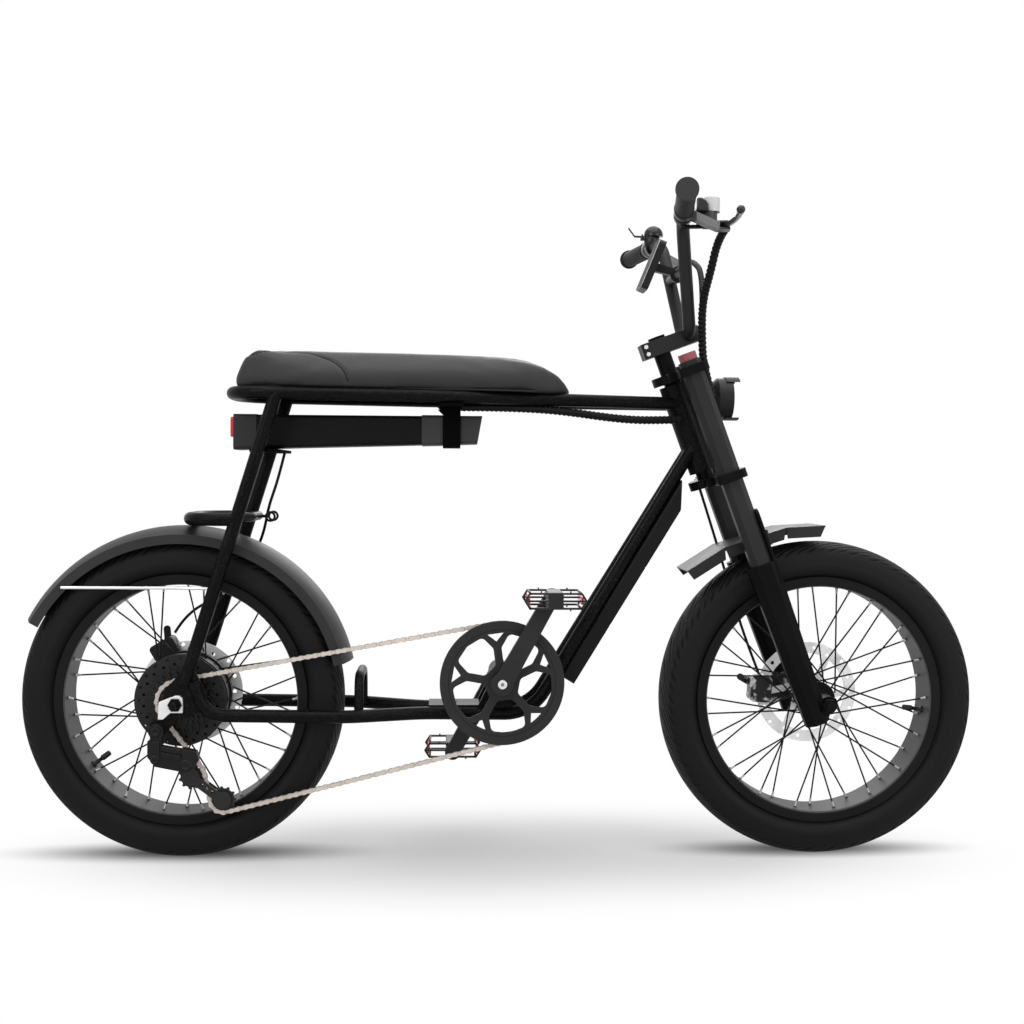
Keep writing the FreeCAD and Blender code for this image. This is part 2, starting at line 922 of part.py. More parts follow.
def pedal(side):
    start = crank_plane + crank_thickness / 2 + pedal_gap
    end = start + pedal_width
    half = pedal_length / 2
    tall = pedal_height / 2
    nose = tall * pedal_nose_share
    chamfer = half - tall * pedal_chamfer_share
    outline = [(-half, -nose), (-chamfer, -tall), (chamfer, -tall), (half, -nose)]
    outline += [(-x, -z) for x, z in outline]
    bore = across(spindle_radius + running_fit, start - overrun, end + overrun)
    barrel = across(pedal_barrel_radius, start, end)
    pieces = [barrel]
    window_low = pedal_barrel_radius + pedal_bar
    window_high = chamfer
    for y in (start, end - pedal_plate):
        plate = prism(outline, y, y + pedal_plate)
        for sign in (-1, 1):
            low, high = sorted((sign * window_low, sign * window_high))
            gap = (y - overrun, y + pedal_plate + overrun)
            plate = plate.cut(block(low, high, *gap, pedal_bar / 2, tall - pedal_bar))
            plate = plate.cut(block(low, high, *gap, -tall + pedal_bar, -pedal_bar / 2))
        pieces.append(plate)
    for sign in (-1, 1):
        low, high = sorted((sign * (half - pedal_plate), sign * half))
        pieces.append(block(low, high, start, end, -nose, nose))
        for z in (-tall, tall - pedal_bar):
            low, high = sorted((sign * (chamfer - pedal_plate), sign * chamfer))
            pieces.append(block(low, high, start, end, z, z + pedal_bar))
    frame = fuse(pieces).cut(bore)
    lights = []
    middle = (start + end) / 2
    for sign in (-1, 1):
        low, high = sorted((sign * half, sign * (half + reflector_thickness)))
        span = pedal_width / 2 - pedal_plate
        light = block(low, high, middle - span, middle + span, -reflector_height / 2, reflector_height / 2)
        lights.append(light)
    whole = Part.makeCompound([frame] + lights)
    if side < 0:
        whole = mirrored(whole)
    angle = crank_angle if side < 0 else crank_angle + 180
    eye = polar(crank_length, angle)
    return moved(whole, bb_x + eye[0], 0, bb_z + eye[1])


pedal_nose_share = 0.58
pedal_chamfer_share = 0.45


# Rear derailleur
def derailleur_body():
    low = derailleur_y - derailleur_thickness / 2
    high = derailleur_y + derailleur_thickness / 2
    hanger = (rear_x + hanger_x, axle_z + hanger_z)
    heel = (hanger[0], hanger[1] - knuckle_drop)
    pivot = (rear_x + cage_pivot_x, axle_z + cage_pivot_z)
    plate_side = -stay_y - dropout_thickness / 2
    top = across(knuckle_radius, low, plate_side, *hanger)
    arm = link_plate(hanger, heel, knuckle_radius * arm_share, low, high)
    heel_boss = across(knuckle_radius * arm_share, low, high, *heel)
    boxes = [link_plate(heel, pivot, knuckle_radius, low, low + derailleur_thickness / 3)]
    boxes.append(link_plate(heel, pivot, knuckle_radius, high - derailleur_thickness / 3, high))
    boxes.append(link_plate(heel, pivot, knuckle_radius * link_core_share, low, high))
    foot = across(knuckle_radius, low, high, *pivot)
    pin = across(cage_pivot_radius, high, chain_y - cage_half_gap, *pivot)
    return fuse([top, arm, heel_boss, foot, pin] + boxes)


def link_plate(start, end, half, low, high):
    along = Vec(end[0] - start[0], 0, end[1] - start[1])
    side = Vec(along.z, 0, -along.x).normalize() * half
    corners = [(start[0] + side.x, start[1] + side.z), (end[0] + side.x, end[1] + side.z)]
    corners += [(end[0] - side.x, end[1] - side.z), (start[0] - side.x, start[1] - side.z)]
    return prism(corners, low, high)


arm_share = 0.75
link_core_share = 0.5


def cage_eye(at_pivot):
    return knuckle_radius if at_pivot else knuckle_radius * cage_eye_share


def derailleur_cage():
    pivot = (rear_x + cage_pivot_x, axle_z + cage_pivot_z)
    plates = []
    outer = chain_y - cage_half_gap - cage_plate
    inner = chain_y + cage_half_gap
    spots = [pivot, guide_centre, tension_centre]
    for y in (outer, inner):
        first = spots if y == outer else spots[1:]
        discs = [across(cage_eye(spot == pivot), y, y + cage_plate, *spot) for spot in first]
        top = y + cage_plate
        bars = [link_plate(start, end, cage_bar_half, y, top) for start, end in zip(first, first[1:])]
        plates.append(fuse(discs + bars))
    pins = [across(pulley_pin_radius, outer, inner + cage_plate, *spot) for spot in spots[1:]]
    bore = across(cage_pivot_radius + running_fit, outer - overrun, outer + cage_plate + overrun, *pivot)
    slots = []
    for share in cage_slot_shares:
        x = guide_centre[0] + (tension_centre[0] - guide_centre[0]) * share
        z = guide_centre[1] + (tension_centre[1] - guide_centre[1]) * share
        slots.append(across(cage_slot_radius, outer - overrun, inner + overrun, x, z))
    return fuse([plate.cut(slots) for plate in plates] + pins).cut(bore)


cage_eye_share = 1.2
cage_slot_shares = (0.35, 0.5, 0.65)
cage_slot_radius = 2.8
cage_bar_half = 8.0


def pulley(centre):
    phase = tooth_phase(centre, pulley_teeth)
    wheel = toothed(pulley_teeth, phase, chain_y, pulley_pin_radius + running_fit)
    return moved(wheel, centre[0], 0, centre[1])


# Frame
def rail_point(x, y):
    run = head_x_at(rail_head_z) - rail_rear_x
    return Vec(x, y, rail_rear_z + (rail_head_z - rail_rear_z) * (x - rail_rear_x) / run)


def rail_route():
    head_x = head_x_at(rail_head_z)
    side = [rail_point(head_x, -twin_head_y), rail_point(rail_flare_x, -stay_y)]
    side += [rail_point(rail_rear_x, -stay_y)]
    other = [Vec(point.x, -point.y, point.z) for point in reversed(side)]
    return side + other, [rail_flare_bend, rail_bend, rail_bend, rail_flare_bend]


def stay_points():
    top = rail_point(seat_stay_top_x, stay_y)
    foot = Vec(rear_x + stay_foot_x, stay_y, axle_z + stay_foot_z)
    return top, foot


stay_foot_x = 13.0
stay_foot_z = 32.0


def lower_route():
    head_z = head_origin.z - down_head_drop
    return [
        Vec(rear_x + chainstay_rear_x - chainstay_lean, stay_y, axle_z + chainstay_rise),
        Vec(rear_x + chainstay_rear_x, stay_y, chainstay_z + chainstay_fall),
        Vec(pinch_rear_x, stay_y, chainstay_z),
        Vec(pinch_front_x, pinch_y, chainstay_z - chainstay_fall / 2),
        Vec(knee_x, pinch_y, chainstay_z - chainstay_fall), Vec(head_x_at(head_z), twin_head_y, head_z),
    ]


chainstay_lean = 16.0
chainstay_fall = 3.0
lower_bends = [chainstay_bend, pinch_bend, pinch_bend, knee_bend]


def head_tube():
    body = Part.makeCylinder(head_radius, 2 * head_half, Vec(0, 0, -head_half))
    body = body.cut(Part.makeCylinder(head_bore, 2 * head_half, Vec(0, 0, -head_half)))
    for base in (-head_half, head_half - bearing_height):
        body = body.cut(Part.makeCylinder(bearing_radius, bearing_height, Vec(0, 0, base)))
    return in_fork(body)


def head_solid():
    return in_fork(Part.makeCylinder(head_radius, 2 * head_half, Vec(0, 0, -head_half)))


def headset_bearings():
    rings = []
    for base in (-head_half, head_half - bearing_height):
        ring = Part.makeCylinder(bearing_radius, bearing_height, Vec(0, 0, base))
        bore = Part.makeCylinder(steerer_radius + running_fit, bearing_height, Vec(0, 0, base))
        rings.append(ring.cut(bore))
    return in_fork(Part.makeCompound(rings))


def top_rail_loop():
    points, bends = rail_route()
    return tube(points, bends, tube_radius, tube_wall).cut(head_solid())


def rail_solid():
    points, bends = rail_route()
    return rod(points, bends, tube_radius)


def dropout(side):
    outline = [(rear_x + x * dropout_reach, axle_z + z * dropout_reach) for x, z in dropout_shares]
    extra = hanger_shares if side < 0 else brake_tab_shares
    tab = [(rear_x + x * dropout_reach, axle_z + z * dropout_reach) for x, z in extra]
    low = side * stay_y - dropout_thickness / 2
    high = low + dropout_thickness
    plate = fuse([prism(outline, low, high), prism(tab, low, high)])
    return plate.cut(across(rear_axle_radius, low - overrun, high + overrun, rear_x, axle_z))


dropout_reach = 60.0
dropout_shares = (
    (-0.4, -0.3), (0.2, -0.42), (0.7, -0.2), (0.86, 0.3), (0.5, 0.95), (0.2, 0.95), (-0.3, 0.42),
)
hanger_shares = ((-0.4, -0.3), (-0.72, -0.55), (-0.62, -0.85), (-0.3, -0.85), (0.1, -0.35), (-0.2, 0.3))
brake_tab_shares = ((-0.3, 0.1), (-0.78, 0.62), (-0.72, 1.12), (-0.35, 1.12), (0.3, 0.5))


def seat_stays():
    top, foot = stay_points()
    stay = stick(top, foot, tube_radius).cut(stick(top, foot, tube_radius - tube_wall))
    plates = [dropout(-1), dropout(1)]
    tubes = pair(stay).cut([rail_solid()] + [dropout_blank(side) for side in (-1, 1)])
    return Part.makeCompound(tubes.Solids + plates)


def dropout_blank(side):
    return dropout(side).fuse(across(rear_axle_radius, side * stay_y - dropout_thickness / 2,
                                     side * stay_y + dropout_thickness / 2, rear_x, axle_z))


def stay_solids():
    top, foot = stay_points()
    return [stick(top, foot, tube_radius), mirrored(stick(top, foot, tube_radius))]


def lower_solids():
    side = rod(lower_route(), lower_bends, tube_radius)
    return [side, mirrored(side)]


def lower_tubes():
    side = tube(lower_route(), lower_bends, tube_radius, tube_wall)
    whole = pair(side).cut([head_solid()] + stay_solids() + [dropout_blank(sign) for sign in (-1, 1)])
    return Part.makeCompound([solid for solid in whole.Solids if solid.Volume > tube_radius ** 3])


def bottom_bracket_shell():
    shell = across(bb_shell_radius, -bb_shell_half, bb_shell_half, bb_x, bb_z)
    base = chainstay_z - chainstay_fall
    webs = []
    for sign in (-1, 1):
        middle = sign * pinch_y
        outline = [
            (bb_x - bb_shell_radius * web_rear_share, base), (bb_x + bb_shell_radius, base),
            (bb_x + bb_shell_radius * web_top_share, bb_z), (bb_x - bb_shell_radius * web_top_share, bb_z),
        ]
        webs.append(prism(outline, middle - bb_web_thickness / 2, middle + bb_web_thickness / 2))
    bore = across(crank_axle_radius + running_fit, -bb_shell_half, bb_shell_half, bb_x, bb_z)
    return fuse([shell] + webs).cut([bore] + lower_solids())


web_rear_share = 2.2
web_top_share = 0.9


def frame_bridges():
    lower = lower_solids()
    half = kick_plate_length / 2
    plate_low = chainstay_z + tube_radius - chainstay_fall
    plate = block(kick_plate_x - half, kick_plate_x + half, -pinch_y, pinch_y, plate_low - overrun,
                  plate_low + kick_plate_thickness)
    bore = Part.makeCylinder(kick_bore_radius, kick_plate_length, Vec(kick_plate_x, 0, chainstay_z))
    plate = plate.cut(bore)
    plate = plate.cut(lower + [bottom_bracket_shell()])
    foot = Vec(hoop_x, hoop_half + hoop_radius, chainstay_z)
    peak = Vec(hoop_x, hoop_half, hoop_top_z)
    hoop = rod([foot, peak, Vec(hoop_x, -hoop_half, hoop_top_z), Vec(hoop_x, -foot.y, foot.z)],
               [hoop_bend, hoop_bend], hoop_radius).cut(lower)
    stays = stay_solids()
    top, low = stay_points()
    rear_share = (top.z - rear_hoop_z) / (top.z - low.z)
    root = top + (low - top) * rear_share
    back = Vec(rear_hoop_x, stay_y, rear_hoop_z)
    rear_hoop = rod([root, back, Vec(back.x, -back.y, back.z), Vec(root.x, -root.y, root.z)],
                    [rear_hoop_bend, rear_hoop_bend], tube_radius).cut(stays)
    bridge_share = (top.z - bridge_z) / (top.z - low.z)
    spot = top + (low - top) * bridge_share
    ring_x = spot.x + tube_radius + bridge_radius
    bridge = rod([spot, Vec(ring_x, stay_y * bridge_bend_share, bridge_z),
                  Vec(ring_x, -stay_y * bridge_bend_share, bridge_z), Vec(spot.x, -spot.y, bridge_z)],
                 [bridge_radius * 2, bridge_radius * 2], bridge_radius).cut(stays)
    rings = []
    for y in (-cable_ring_y, cable_ring_y):
        centre = Vec(ring_x + bridge_radius + cable_ring_reach, y, bridge_z)
        rings.append(Part.makeTorus(cable_ring_radius, cable_ring_wire, centre, Vec(0, 1, 0)))
        stub_end = centre - Vec(cable_ring_radius, 0, 0)
        rings.append(stick(Vec(ring_x, y, bridge_z), stub_end, cable_ring_wire))
    bridge = fuse([bridge] + rings)
    return Part.makeCompound([plate, hoop, rear_hoop, bridge])


bridge_bend_share = 0.55


def rear_axle():
    shaft = across(rear_axle_radius, -rear_axle_half, rear_axle_half)
    face = stay_y + dropout_thickness / 2
    nuts = []
    for low in (face, -face - axle_nut_height):
        corners = [polar(axle_nut_radius, 60 * index) for index in range(6)]
        nuts.append(prism(corners, low, low + axle_nut_height))
    return moved(fuse([shaft] + nuts), rear_x, 0, axle_z)


# Seat
def seat_frame(shape):
    run = head_x_at(rail_head_z) - rail_rear_x
    slope = math.degrees(math.atan2(rail_rear_z - rail_head_z, run))
    placed = shape.copy()
    base = rail_point(rail_rear_x, 0) + Vec(0, 0, tube_radius)
    placed.Placement = FreeCAD.Placement(base, FreeCAD.Rotation(Vec(0, 1, 0), slope))
    return placed


def pad_section(x, half, height, base, inset):
    wide = half - inset
    top = base + height - inset
    foot = wide * pad_foot_share
    side = base + (top - base) * pad_bulge_share
    edge = wide * pad_edge_share
    edge_z = base + (top - base) * pad_edge_rise_share

    def at(y, z):
        return Vec(x, y, z)

    mid_z = (side + edge_z) / 2 + (top - base) * pad_round_share
    corner = wide - (wide - edge) / 4
    pieces = [
        Part.LineSegment(at(-foot, base), at(foot, base)).toShape(),
        Part.LineSegment(at(foot, base), at(wide, side)).toShape(),
        Part.Arc(at(wide, side), at(corner, mid_z), at(edge, edge_z)).toShape(),
        Part.Arc(at(edge, edge_z), at(0, top), at(-edge, edge_z)).toShape(),
        Part.Arc(at(-edge, edge_z), at(-corner, mid_z), at(-wide, side)).toShape(),
        Part.LineSegment(at(-wide, side), at(-foot, base)).toShape(),
    ]
    return Part.Wire(pieces)


pad_foot_share = 1.0
pad_round_share = 0.083
pad_bulge_share = 0.36
pad_edge_share = 0.8
pad_edge_rise_share = 0.9
# station along the pad, half width and height as shares of the seat's own sizes
pad_shares = (
    (0.0, 0.76, 0.16), (0.02, 0.83, 0.46), (0.045, 0.89, 0.79), (0.07, 0.93, 0.93), (0.12, 0.98, 0.98),
    (0.3, 1.0, 1.0), (0.55, 0.95, 0.97), (0.75, 0.9, 0.94), (0.87, 0.85, 0.85), (0.945, 0.75, 0.63),
    (0.985, 0.58, 0.37), (1.0, 0.42, 0.2),
)


def pad_loft(inset):
    length = seat_front_x - seat_rear_x
    start = seat_rear_x - rail_rear_x
    sections = []
    for along, wide, tall in pad_shares:
        x = start + inset + (length - 2 * inset) * along
        sections.append(pad_section(x, seat_half * wide, seat_height * tall, seat_base_thickness, inset))
    return Part.makeLoft(sections, True, False)


def seat_pad():
    pad = pad_loft(0)
    core = pad_loft(seam_depth)
    start = seam_x - rail_rear_x
    bow = seam_run * seam_bow_share
    top = seat_base_thickness + seat_height + overrun
    points = [Vec(start - overrun, 0, top), Vec(start + bow, 0, top - seat_height * seam_bow_drop_share)]
    points.append(Vec(start + seam_run, 0, seat_base_thickness - overrun))
    near = Part.Arc(*points).toShape()
    shift = Vec(seam_width, 0, 0)
    far = Part.Arc(*[point + shift for point in reversed(points)]).toShape()
    ends = [Part.LineSegment(points[2], points[2] + shift).toShape()]
    ends.append(Part.LineSegment(points[0] + shift, points[0]).toShape())
    wall = Part.Face(Part.Wire([near, ends[0], far, ends[1]])).extrude(Vec(0, 2 * seat_half, 0))
    wall.translate(Vec(0, -seat_half, 0))
    return seat_frame(pad.cut(wall.cut(core)))


seam_bow_share = 0.55
seam_bow_drop_share = 0.3


def seat_base():
    inset = seat_base_inset
    start = seat_rear_x - rail_rear_x + inset
    end = seat_front_x - rail_rear_x - inset * 2
    half = seat_half * pad_foot_share * base_width_share
    slab = block(start, end, -half, half, 0, seat_base_thickness)
    return seat_frame(round_edges(slab, Vec(0, 0, 1), seat_base_corner))


base_width_share = 0.76


# Battery, its cradle and the controller
battery_top_z = min(rail_point(battery_rear_x, 0).z, rail_point(battery_front_x, 0).z) - battery_gap
battery_rear_low_z = battery_top_z - battery_rear_height
battery_front_low_z = battery_top_z - battery_front_height


def battery_low(x):
    run = (x - battery_case_x) / (battery_front_x - battery_case_x)
    return battery_rear_low_z + (battery_front_low_z - battery_rear_low_z) * run


def battery_slice(x_low, x_high, proud):
    outline = [
        (x_low, battery_low(x_low) - proud), (x_high, battery_low(x_high) - proud),
        (x_high, battery_top_z + proud), (x_low, battery_top_z + proud),
    ]
    body = prism(outline, -battery_half - proud, battery_half + proud)
    edges = [edge for edge in body.Edges if abs(edge.Vertexes[0].X - edge.Vertexes[1].X) > battery_corner]
    return body.makeFillet(battery_corner, edges)


def battery_case():
    main = battery_slice(battery_case_x, battery_sleeve_x, 0)
    sleeve = battery_slice(battery_sleeve_x, battery_strap_x, sleeve_proud)
    core = battery_slice(battery_strap_x, battery_strap_x + battery_strap_width, 0)
    return fuse([main, sleeve, core] + battery_caps())


def battery_caps():
    rear = battery_slice(battery_rear_x, battery_case_x, sleeve_proud / 2)
    front_low = battery_strap_x + battery_strap_width
    front = battery_slice(front_low, battery_front_x, sleeve_proud / 2)
    edge = battery_half + overrun
    wedge = prism([
        (battery_front_x - battery_nose_lean, battery_rear_low_z - overrun),
        (battery_front_x + overrun, battery_rear_low_z - overrun),
        (battery_front_x + overrun, battery_top_z + overrun), (battery_front_x, battery_top_z + overrun),
    ], -edge, edge)
    return [rear, front.cut(wedge)]


def tail_light_lens():
    middle = battery_top_z - light_strip_drop
    half = light_strip_height / 2
    rear = battery_rear_x - light_strip_thickness
    wide = light_strip_half
    strip = block(rear, battery_rear_x, -wide, wide, middle - half, middle + half)
    return round_edges(strip, Vec(1, 0, 0), half / 3)


def battery_cradle():
    low_x = battery_strap_x
    high_x = battery_strap_x + battery_strap_width
    gap = battery_half
    wall = gap + strap_wall
    floor = battery_low(high_x) - sleeve_proud - strap_wall
    rail_low = rail_point(high_x, 0).z - tube_radius
    shelf = rail_low - strap_wall
    band = block(low_x, high_x, -wall, wall, floor, rail_low)
    hollow = block(low_x - overrun, high_x + overrun, -gap, gap, floor + strap_wall, shelf)
    wide = strap_flange_half
    flange = block(low_x - strap_wall, high_x + strap_wall, -wide, wide, shelf, rail_low)
    strap = fuse([band, flange]).cut([hollow, battery_slice(low_x, high_x, 0), rail_solid()])
    corner = [(low_x, shelf), (low_x - strap_gusset, shelf), (low_x, shelf - strap_gusset)]
    strap = fuse([strap, prism(corner, -wall, -gap), prism(corner, gap, wall)])
    front, low = cradle_plate_edge()
    rear = front - cradle_plate_length
    plate = block(rear, front, -stay_y, stay_y, low, low + strap_wall)
    return Part.makeCompound([strap, plate.cut(stay_solids())])


def cradle_plate_edge():
    top, foot = stay_points()
    plate_top = battery_low(battery_case_x) - sleeve_proud
    share = (top.z - plate_top) / (top.z - foot.z)
    middle = top.x + (foot.x - top.x) * share
    return middle + cradle_plate_reach, plate_top - strap_wall


def controller_box():
    route = lower_route()
    knee, head = route[-2], route[-1]
    slope = math.degrees(math.atan2(head.z - knee.z, head.x - knee.x))
    near = -tube_radius - seat_gap
    far = near - controller_thickness
    length = (head - knee).Length * controller_length_share
    start = (head - knee).Length * controller_start_share
    end = start + length
    outline = [(start, near), (start, far), (end, far), (end + controller_slant, near)]
    box = prism(outline, -controller_half, controller_half)
    box = round_edges(box, Vec(1, 0, 0), controller_corner)
    fins = []
    step = length / (controller_fins + 1)
    for index in range(controller_fins):
        x = start + step * (index + 1)
        deep = far + seat_gap * 3
        fins.append(block(x, x + controller_corner / 2, -controller_half, controller_half, far, deep))
    box = box.cut(fins)
    box.Placement = FreeCAD.Placement(Vec(knee.x, 0, knee.z), FreeCAD.Rotation(Vec(0, 1, 0), -slope))
    return box


controller_fins = 2
controller_start_share = 0.151
controller_length_share = 0.641


# Mudguards
def rear_fender():
    edge = rear_guard_radius - rear_guard_crown
    low = edge - rear_guard_flange
    half = rear_guard_half
    outer = [
        Part.LineSegment(Vec(low, -half, 0), Vec(edge, -half, 0)).toShape(),
        Part.Arc(Vec(edge, -half, 0), Vec(rear_guard_radius, 0, 0), Vec(edge, half, 0)).toShape(),
        Part.LineSegment(Vec(edge, half, 0), Vec(low, half, 0)).toShape(),
        Part.LineSegment(Vec(low, half, 0), Vec(low, half - sheet, 0)).toShape(),
        Part.LineSegment(Vec(low, half - sheet, 0), Vec(edge, half - sheet, 0)).toShape(),
        Part.Arc(Vec(edge, half - sheet, 0), Vec(rear_guard_radius - sheet, 0, 0),
                 Vec(edge, -half + sheet, 0)).toShape(),
        Part.LineSegment(Vec(edge, -half + sheet, 0), Vec(low, -half + sheet, 0)).toShape(),
        Part.LineSegment(Vec(low, -half + sheet, 0), Vec(low, -half, 0)).toShape(),
    ]
    face = Part.Face(Part.Wire(outer))
    guard = face.revolve(Vec(0, 0, 0), Vec(0, -1, 0), rear_guard_sweep)
    guard = moved(rotated(guard, rear_guard_start), rear_x, 0, axle_z)
    x, z = polar(low + rear_guard_flange / 2, guard_rod_angle)
    top, foot = stay_points()
    height = axle_z + z
    share = (top.z - height) / (top.z - foot.z)
    side_x = top.x + (foot.x - top.x) * share
    inner_y = half + guard_rod_radius
    outer_y = stay_y - tube_radius
    knee_at = Vec(rear_x, inner_y, height)
    wire = rod([Vec(rear_x + x, inner_y, height), knee_at, Vec(side_x - tube_radius, outer_y, height),
                Vec(side_x, stay_y, height)], [guard_bend, guard_bend * rod_bend_share], guard_rod_radius)
    wires = pair(wire).cut(stay_solids())
    return Part.makeCompound([guard] + wires.Solids)


guard_bend = 120.0
rod_bend_share = 0.125


def front_fender():
    centre_x = front_x
    points = [
        Vec(centre_x + x * tyre_radius, 0, axle_z + z * tyre_radius) for x, z in front_guard_shares
    ]
    outer = [(point.x, point.z) for point in points]
    drop = front_guard_flange
    plates = []
    for (ax, az), (bx, bz) in zip(outer, outer[1:]):
        along = Vec(bx - ax, 0, bz - az).normalize()
        down = Vec(along.z, 0, -along.x)
        near = (ax + down.x * sheet, az + down.z * sheet)
        far = (bx + down.x * sheet, bz + down.z * sheet)
        plates.append(prism([(ax, az), (bx, bz), far, near], -front_guard_half, front_guard_half))
        lip_low = (ax + down.x * drop + along.x * sheet, az + down.z * drop + along.z * sheet)
        lip_high = (bx + down.x * drop - along.x * drop / 2, bz + down.z * drop - along.z * drop / 2)
        for side in (-front_guard_half, front_guard_half - sheet):
            plates.append(prism([(ax, az), (bx, bz), lip_high, lip_low], side, side + sheet))
    tongue = leg_offset + leg_size / 2 + slide_gap + guard_tongue_thickness
    height = -front_guard_bridge_t
    bridge = block(tongue, tongue + front_guard_bridge, -front_guard_bridge_half, front_guard_bridge_half,
                   height, height + front_guard_bridge_height)
    return fuse(plates + [in_fork(bridge)])


# folds of the front guard from its rear edge forward, as shares of the tyre's radius from the axle
front_guard_shares = ((-0.86, 0.815), (-0.625, 0.965), (-0.24, 1.09), (0.01, 1.105))


# Fork
def leg_profile(size, bevel, t):
    half = size / 2
    short = half - bevel
    corners = [
        (-half, -short), (-short, -half), (short, -half), (half, -short),
        (half, short), (short, half), (-short, half), (-half, short),
    ]
    points = [Vec(leg_offset + x, leg_y + y, t) for x, y in corners]
    return Part.Face(Part.makePolygon(points + points[:1]))


def leg_blank(size, bevel, low, high):
    return leg_profile(size, bevel, low).extrude(Vec(0, 0, high - low))


def fork_upper_legs():
    leg = leg_blank(leg_size, leg_bevel, -leg_bottom, leg_top)
    bore = leg_blank(leg_size - 2 * leg_wall, leg_bevel - leg_wall / 2, -leg_bottom, leg_top - leg_cap)
    leg = leg.cut(bore)
    pin = Part.makeCylinder(knob_pin_radius, knob_height / 2, Vec(leg_offset, -leg_y, leg_top))
    return in_fork(Part.makeCompound([leg, mirrored(leg).fuse(pin)]))


def preload_knob():
    low = leg_top + seat_gap
    centre = Vec(leg_offset, -leg_y, low)
    knob = Part.makeCylinder(knob_radius, knob_height, centre)
    cuts = [Part.makeCylinder(knob_pin_radius + running_fit, knob_height * knob_bore_share, centre)]
    for index in range(knob_flutes):
        spot = polar(knob_radius + knob_flute_radius / 2, 360 * index / knob_flutes)
        cuts.append(Part.makeCylinder(knob_flute_radius, knob_height, centre + Vec(spot[0], spot[1], 0)))
    return in_fork(knob.cut(cuts))


knob_bore_share = 0.6
knob_flutes = 10
knob_flute_radius = 1.6


def crown(low):
    boss = Part.makeCylinder(crown_boss_radius, crown_thickness, Vec(0, 0, low))
    half = crown_clamp_half
    clamps = []
    for side in (-1, 1):
        middle = side * leg_y
        high = low + crown_thickness
        clamp = block(leg_offset - half, leg_offset + half, middle - half, middle + half, low, high)
        clamps.append(round_edges(clamp, Vec(0, 0, 1), leg_bevel))
    web = block(-crown_web_rear, crown_web_front, -leg_y + half, leg_y - half, low, low + crown_thickness)
    return fuse([boss, web] + clamps)


def fork_crowns():
    legs = leg_blank(leg_size, leg_bevel, -leg_bottom, leg_top)
    upper = crown(crown_top - crown_thickness / 2)
    lower = crown(-crown_low - crown_thickness / 2)
    base = -crown_low - crown_thickness / 2
    steerer = Part.makeCylinder(steerer_radius, steerer_top - base, Vec(0, 0, base))
    whole = fuse([upper, lower, steerer])
    core = Part.makeCylinder(steerer_radius - leg_wall, steerer_top - base, Vec(0, 0, base))
    return in_fork(whole.cut([legs, mirrored(legs), core]))


def slider_section(depth, t):
    half = depth / 2
    wide = slider_width / 2
    corner = slider_corner
    points = [
        (-half, -wide + corner), (-half + corner, -wide), (half - corner, -wide), (half, -wide + corner),
        (half, wide - corner), (half - corner, wide), (-half + corner, wide), (-half, wide - corner),
    ]
    corners = [Vec(leg_offset + x, leg_y + y, t) for x, y in points]
    return Part.makePolygon(corners + corners[:1])


def slider_body():
    sections = [slider_section(slider_low_depth, -slider_bottom)]
    sections += [slider_section(slider_top_depth, -slider_top)]
    leg = Part.makeLoft(sections, True, True)
    lug = across(lug_radius, leg_y - lug_half, leg_y + lug_half, axle_offset, -axle_drop)
    arm = block(leg_offset, axle_offset, leg_y - lug_half, leg_y + lug_half, -axle_drop - lug_radius,
                -axle_drop + lug_radius)
    face = leg_offset + leg_size / 2 + slide_gap
    tongue = block(face, face + guard_tongue_thickness, leg_y - guard_tongue_width / 2,
                   leg_y + guard_tongue_width / 2, -slider_top - slider_floor, -guard_tongue_top)
    tongue = round_tongue(tongue)
    return fuse([leg, lug, arm, tongue])


def round_tongue(tongue):
    tops = []
    for edge in tongue.Edges:
        level = min(vertex.Z for vertex in edge.Vertexes) > -guard_tongue_top - seat_gap
        if level and runs_along(edge, Vec(1, 0, 0)):
            tops.append(edge)
    return tongue.makeFillet(guard_tongue_width / 3, tops)


def fork_sliders():
    bore_low = -slider_bottom + slider_floor
    bore = leg_blank(leg_size + 2 * slide_gap, leg_bevel, bore_low, -slider_top + overrun)
    hole = across(front_axle_radius, 0, 2 * leg_y, axle_offset, -axle_drop)
    side = slider_body().cut([bore, hole])
    return in_fork(Part.makeCompound([side, mirrored(side)]))


def front_axle():
    face = leg_y + lug_half
    end = face + axle_nut_height + rear_axle_radius
    shaft = across(front_axle_radius, -end, end)
    pieces = [shaft]
    for low in (face, -face - axle_nut_height):
        corners = [polar(axle_nut_radius, 60 * index) for index in range(6)]
        pieces.append(prism(corners, low, low + axle_nut_height))
    sleeve_low = front_hub_half + seat_gap
    for low, high in ((sleeve_low, leg_y - lug_half), (-leg_y + lug_half, -sleeve_low)):
        pieces.append(across(front_axle_radius * 2, low, high))
    return moved(fuse(pieces), front_x, 0, axle_z)


# Brakes
def caliper(disc_y, angle):
    slot = rotor_thickness / 2 + disc_gap
    cheek = slot + caliper_cheek
    body = block(caliper_inner, caliper_outer, disc_y - cheek, disc_y + cheek, -caliper_half, caliper_half)
    body = round_edges(body, Vec(0, 1, 0), caliper_half / 3)
    gap = block(caliper_inner - overrun, rotor_radius + disc_gap * 2, disc_y - slot, disc_y + slot,
                -caliper_half - overrun, caliper_half + overrun)
    middle = (caliper_inner + caliper_outer) / 2
    pin = across(brake_pin_radius, disc_y + cheek, disc_y + cheek + brake_arm_thickness, middle, 0)
    return rotated(fuse([body.cut(gap), pin]), angle)


